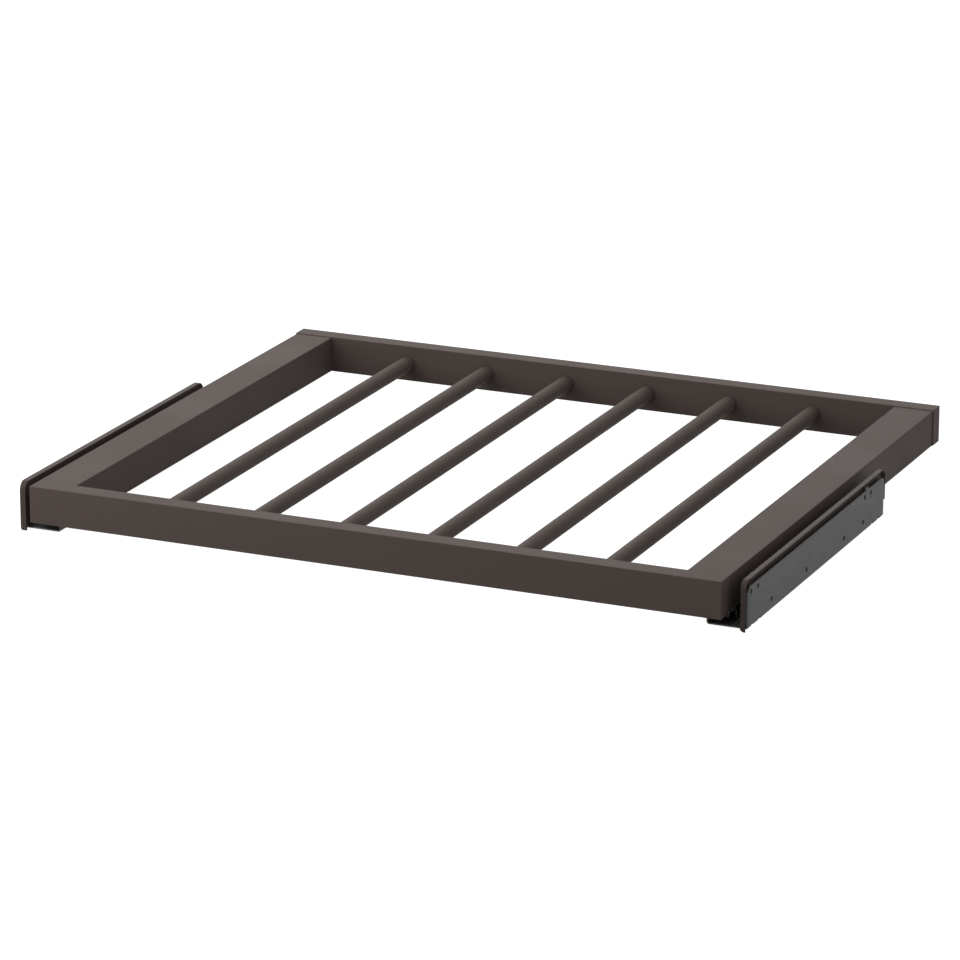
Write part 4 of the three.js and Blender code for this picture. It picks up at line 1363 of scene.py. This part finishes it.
class RACK_OT_rail_screws(bpy.types.Operator):
    """Make the low headed screws that hold the drawer members to the side rails"""

    bl_idname = "rack.rail_screws"
    bl_label = "Rail screws"

    def execute(self, context):
        sizes = context.scene.rack_runner
        shank, height = sizes.rail_screw_shank / 2, sizes.rail_screw_head
        for hand in HANDS:
            for i in (1, 2, 3):
                low, high = corners(f"right_rail_screw_{i}")
                head, seat = (high[0] - low[0]) / 2, low[2] + height
                profile = [
                    (0.0, low[2]),
                    (head - height / 2, low[2]),
                    (head, low[2] + height / 2),
                    (head, seat),
                    (shank, seat),
                    (shank, high[2] - 2 * shank),
                    (0.0, high[2]),
                ]
                centre = flat_centre(f"right_rail_screw_{i}", 2)
                piece = piece_from(f"{hand}_rail_screw_{i}_turned", turned(centre, profile, 2, SCREW_FACES))
                half = sizes.rail_screw_slot / 2
                slot = block(
                    np.array([centre[0] - half, centre[1] - 2 * head, low[2] - OVERRUN]),
                    np.array([centre[0] + half, centre[1] + 2 * head, low[2] + sizes.rail_screw_slot_depth]),
                )
                combine(piece, "DIFFERENCE", [slot])
                node = f"{hand}_rail_screw_{i}"
                hand_over(piece, [node], "zinc_steel", hand)
        return {"FINISHED"}


FLOOR_HALF = 15.0
SENSOR_WIDTH = 36.0
# Each lamp's place, the side of its square, both in metres, and the property that holds its power
LAMPS = {
    "key_lamp": ((-1.268, -1.056, 2.505), 1.5, "key_power"),
    "fill_lamp": ((-1.0, -1.0, 0.45), 1.0, "fill_power"),
    "sheen_lamp": ((-1.083, 1.299, 1.407), 1.2, "sheen_power"),
    "back_lamp": ((-0.689, 2.756, 0.965), 1.8, "back_power"),
}


def seen_directly(tree):
    """1 for rays from the camera, from mirrors and through glass, and 0 for light that spreads."""
    path = add_node(tree, "ShaderNodeLightPath")
    either = add_node(
        tree,
        "ShaderNodeMath",
        {0: path.outputs["Is Camera Ray"], 1: path.outputs["Is Glossy Ray"]},
        operation="MAXIMUM",
    )
    any_of = add_node(
        tree,
        "ShaderNodeMath",
        {0: either.outputs["Value"], 1: path.outputs["Is Transmission Ray"]},
        operation="MAXIMUM",
    )
    return any_of.outputs["Value"]


def soft_lamp(name, place, size, power):
    """A square lamp that faces the rack and stays out of the picture."""
    data = bpy.data.lights.new(name, "AREA")
    data.shape = "SQUARE"
    data.size = size
    data.energy = power
    lamp = piece_from(name, data)
    lamp.visible_camera = False
    lamp.location = place
    aim = -np.array(place)
    lamp.rotation_euler = (
        math.atan2(math.hypot(aim[0], aim[1]), -aim[2]),
        0.0,
        math.atan2(aim[1], aim[0]) - math.pi / 2,
    )


def studio_floor(colours, studio):
    """A wide pale floor that takes the rack's shadow and otherwise shows white."""
    half = FLOOR_HALF
    level = CAD_BOUNDS[0][2] - FLOOR_GAP
    mesh = bpy.data.meshes.new("studio_floor")
    around = [(-half, -half, level), (half, -half, level), (half, half, level), (-half, half, level)]
    mesh.from_pydata(around, [], [(0, 1, 2, 3)])
    floor = piece_from("studio_floor", mesh)
    material = bpy.data.materials.new("studio_floor")
    material.use_nodes = True
    tree = material.node_tree
    tree.nodes.clear()
    matt = add_node(tree, "ShaderNodeBsdfDiffuse", {"Color": (*colours.floor, 1.0)})
    glow = add_node(
        tree, "ShaderNodeMath", {0: seen_directly(tree), 1: studio.floor_glow}, operation="MULTIPLY"
    )
    light = add_node(tree, "ShaderNodeEmission", {"Strength": glow.outputs["Value"]})
    both = add_node(tree, "ShaderNodeAddShader", {0: matt.outputs["BSDF"], 1: light.outputs["Emission"]})
    add_node(tree, "ShaderNodeOutputMaterial", {"Surface": both.outputs["Shader"]})
    mesh.materials.append(material)


def studio_world(studio):
    """Even light from all round, which the camera and mirrors see as white."""
    world = bpy.data.worlds.new("studio_world")
    world.use_nodes = True
    tree = world.node_tree
    tree.nodes.clear()
    strength = add_node(
        tree,
        "ShaderNodeMapRange",
        {"Value": seen_directly(tree), "To Min": studio.ambient, "To Max": 1.0},
    )
    light = add_node(
        tree,
        "ShaderNodeBackground",
        {"Color": (1.0, 1.0, 1.0, 1.0), "Strength": strength.outputs["Result"]},
    )
    add_node(tree, "ShaderNodeOutputWorld", {"Surface": light.outputs["Background"]})
    bpy.context.scene.world = world


class RACK_OT_studio(bpy.types.Operator):
    """Set up the pale floor, the soft lamps and the camera"""

    bl_idname = "rack.studio"
    bl_label = "Studio"

    def execute(self, context):
        scene = context.scene
        studio = scene.rack_studio
        data = bpy.data.cameras.new("studio_camera")
        data.sensor_width = SENSOR_WIDTH
        data.lens = studio.lens
        camera = piece_from("studio_camera", data)
        camera.location = studio.place
        camera.rotation_euler = (math.pi / 2 - studio.elevation, 0.0, studio.azimuth)
        scene.camera = camera
        studio_floor(scene.rack_colours, studio)
        studio_world(studio)
        for name, (place, size, power) in LAMPS.items():
            soft_lamp(name, place, size, getattr(studio, power))
        scene.view_settings.view_transform = "Standard"
        return {"FINISHED"}


OPERATORS = (
    RACK_OT_front_rail,
    RACK_OT_side_rails,
    RACK_OT_back_board,
    RACK_OT_rods,
    RACK_OT_dowels,
    RACK_OT_frame_screws,
    RACK_OT_wall_brackets,
    RACK_OT_runner_covers,
    RACK_OT_slide_members,
    RACK_OT_ball_cages,
    RACK_OT_buffers,
    RACK_OT_rivets,
    RACK_OT_rail_screws,
    RACK_OT_studio,
)


class RACK_PT_pieces(bpy.types.Panel):
    """The rack's operators and settings in the sidebar"""

    bl_label = "Trouser rack"
    bl_idname = "RACK_PT_pieces"
    bl_space_type = "VIEW_3D"
    bl_region_type = "UI"
    bl_category = "Rack"

    def draw(self, context):
        for operator in OPERATORS:
            self.layout.operator(operator.bl_idname)
        for title in GROUPS:
            group = getattr(context.scene, title)
            column = self.layout.column()
            for name in group.__annotations__:
                column.prop(group, name)


GROUPS = {
    "rack_frame": RackFrameSizes,
    "rack_runner": RackRunnerSizes,
    "rack_colours": RackColours,
    "rack_studio": RackStudio,
}


def register():
    """Registers the classes and hangs the property groups on the scene."""
    for name, group in GROUPS.items():
        bpy.utils.register_class(group)
        setattr(bpy.types.Scene, name, bpy.props.PointerProperty(type=group))
    for kind in (*OPERATORS, RACK_PT_pieces):
        bpy.utils.register_class(kind)


def unregister():
    """Takes back what register did."""
    for kind in reversed((*OPERATORS, RACK_PT_pieces)):
        bpy.utils.unregister_class(kind)
    for name, group in GROUPS.items():
        delattr(bpy.types.Scene, name)
        bpy.utils.unregister_class(group)


def main():
    """Builds every piece, then the studio."""
    register()
    for operator in OPERATORS:
        group, name = operator.bl_idname.split(".")
        getattr(getattr(bpy.ops, group), name)()


if __name__ == "__main__":
    main()
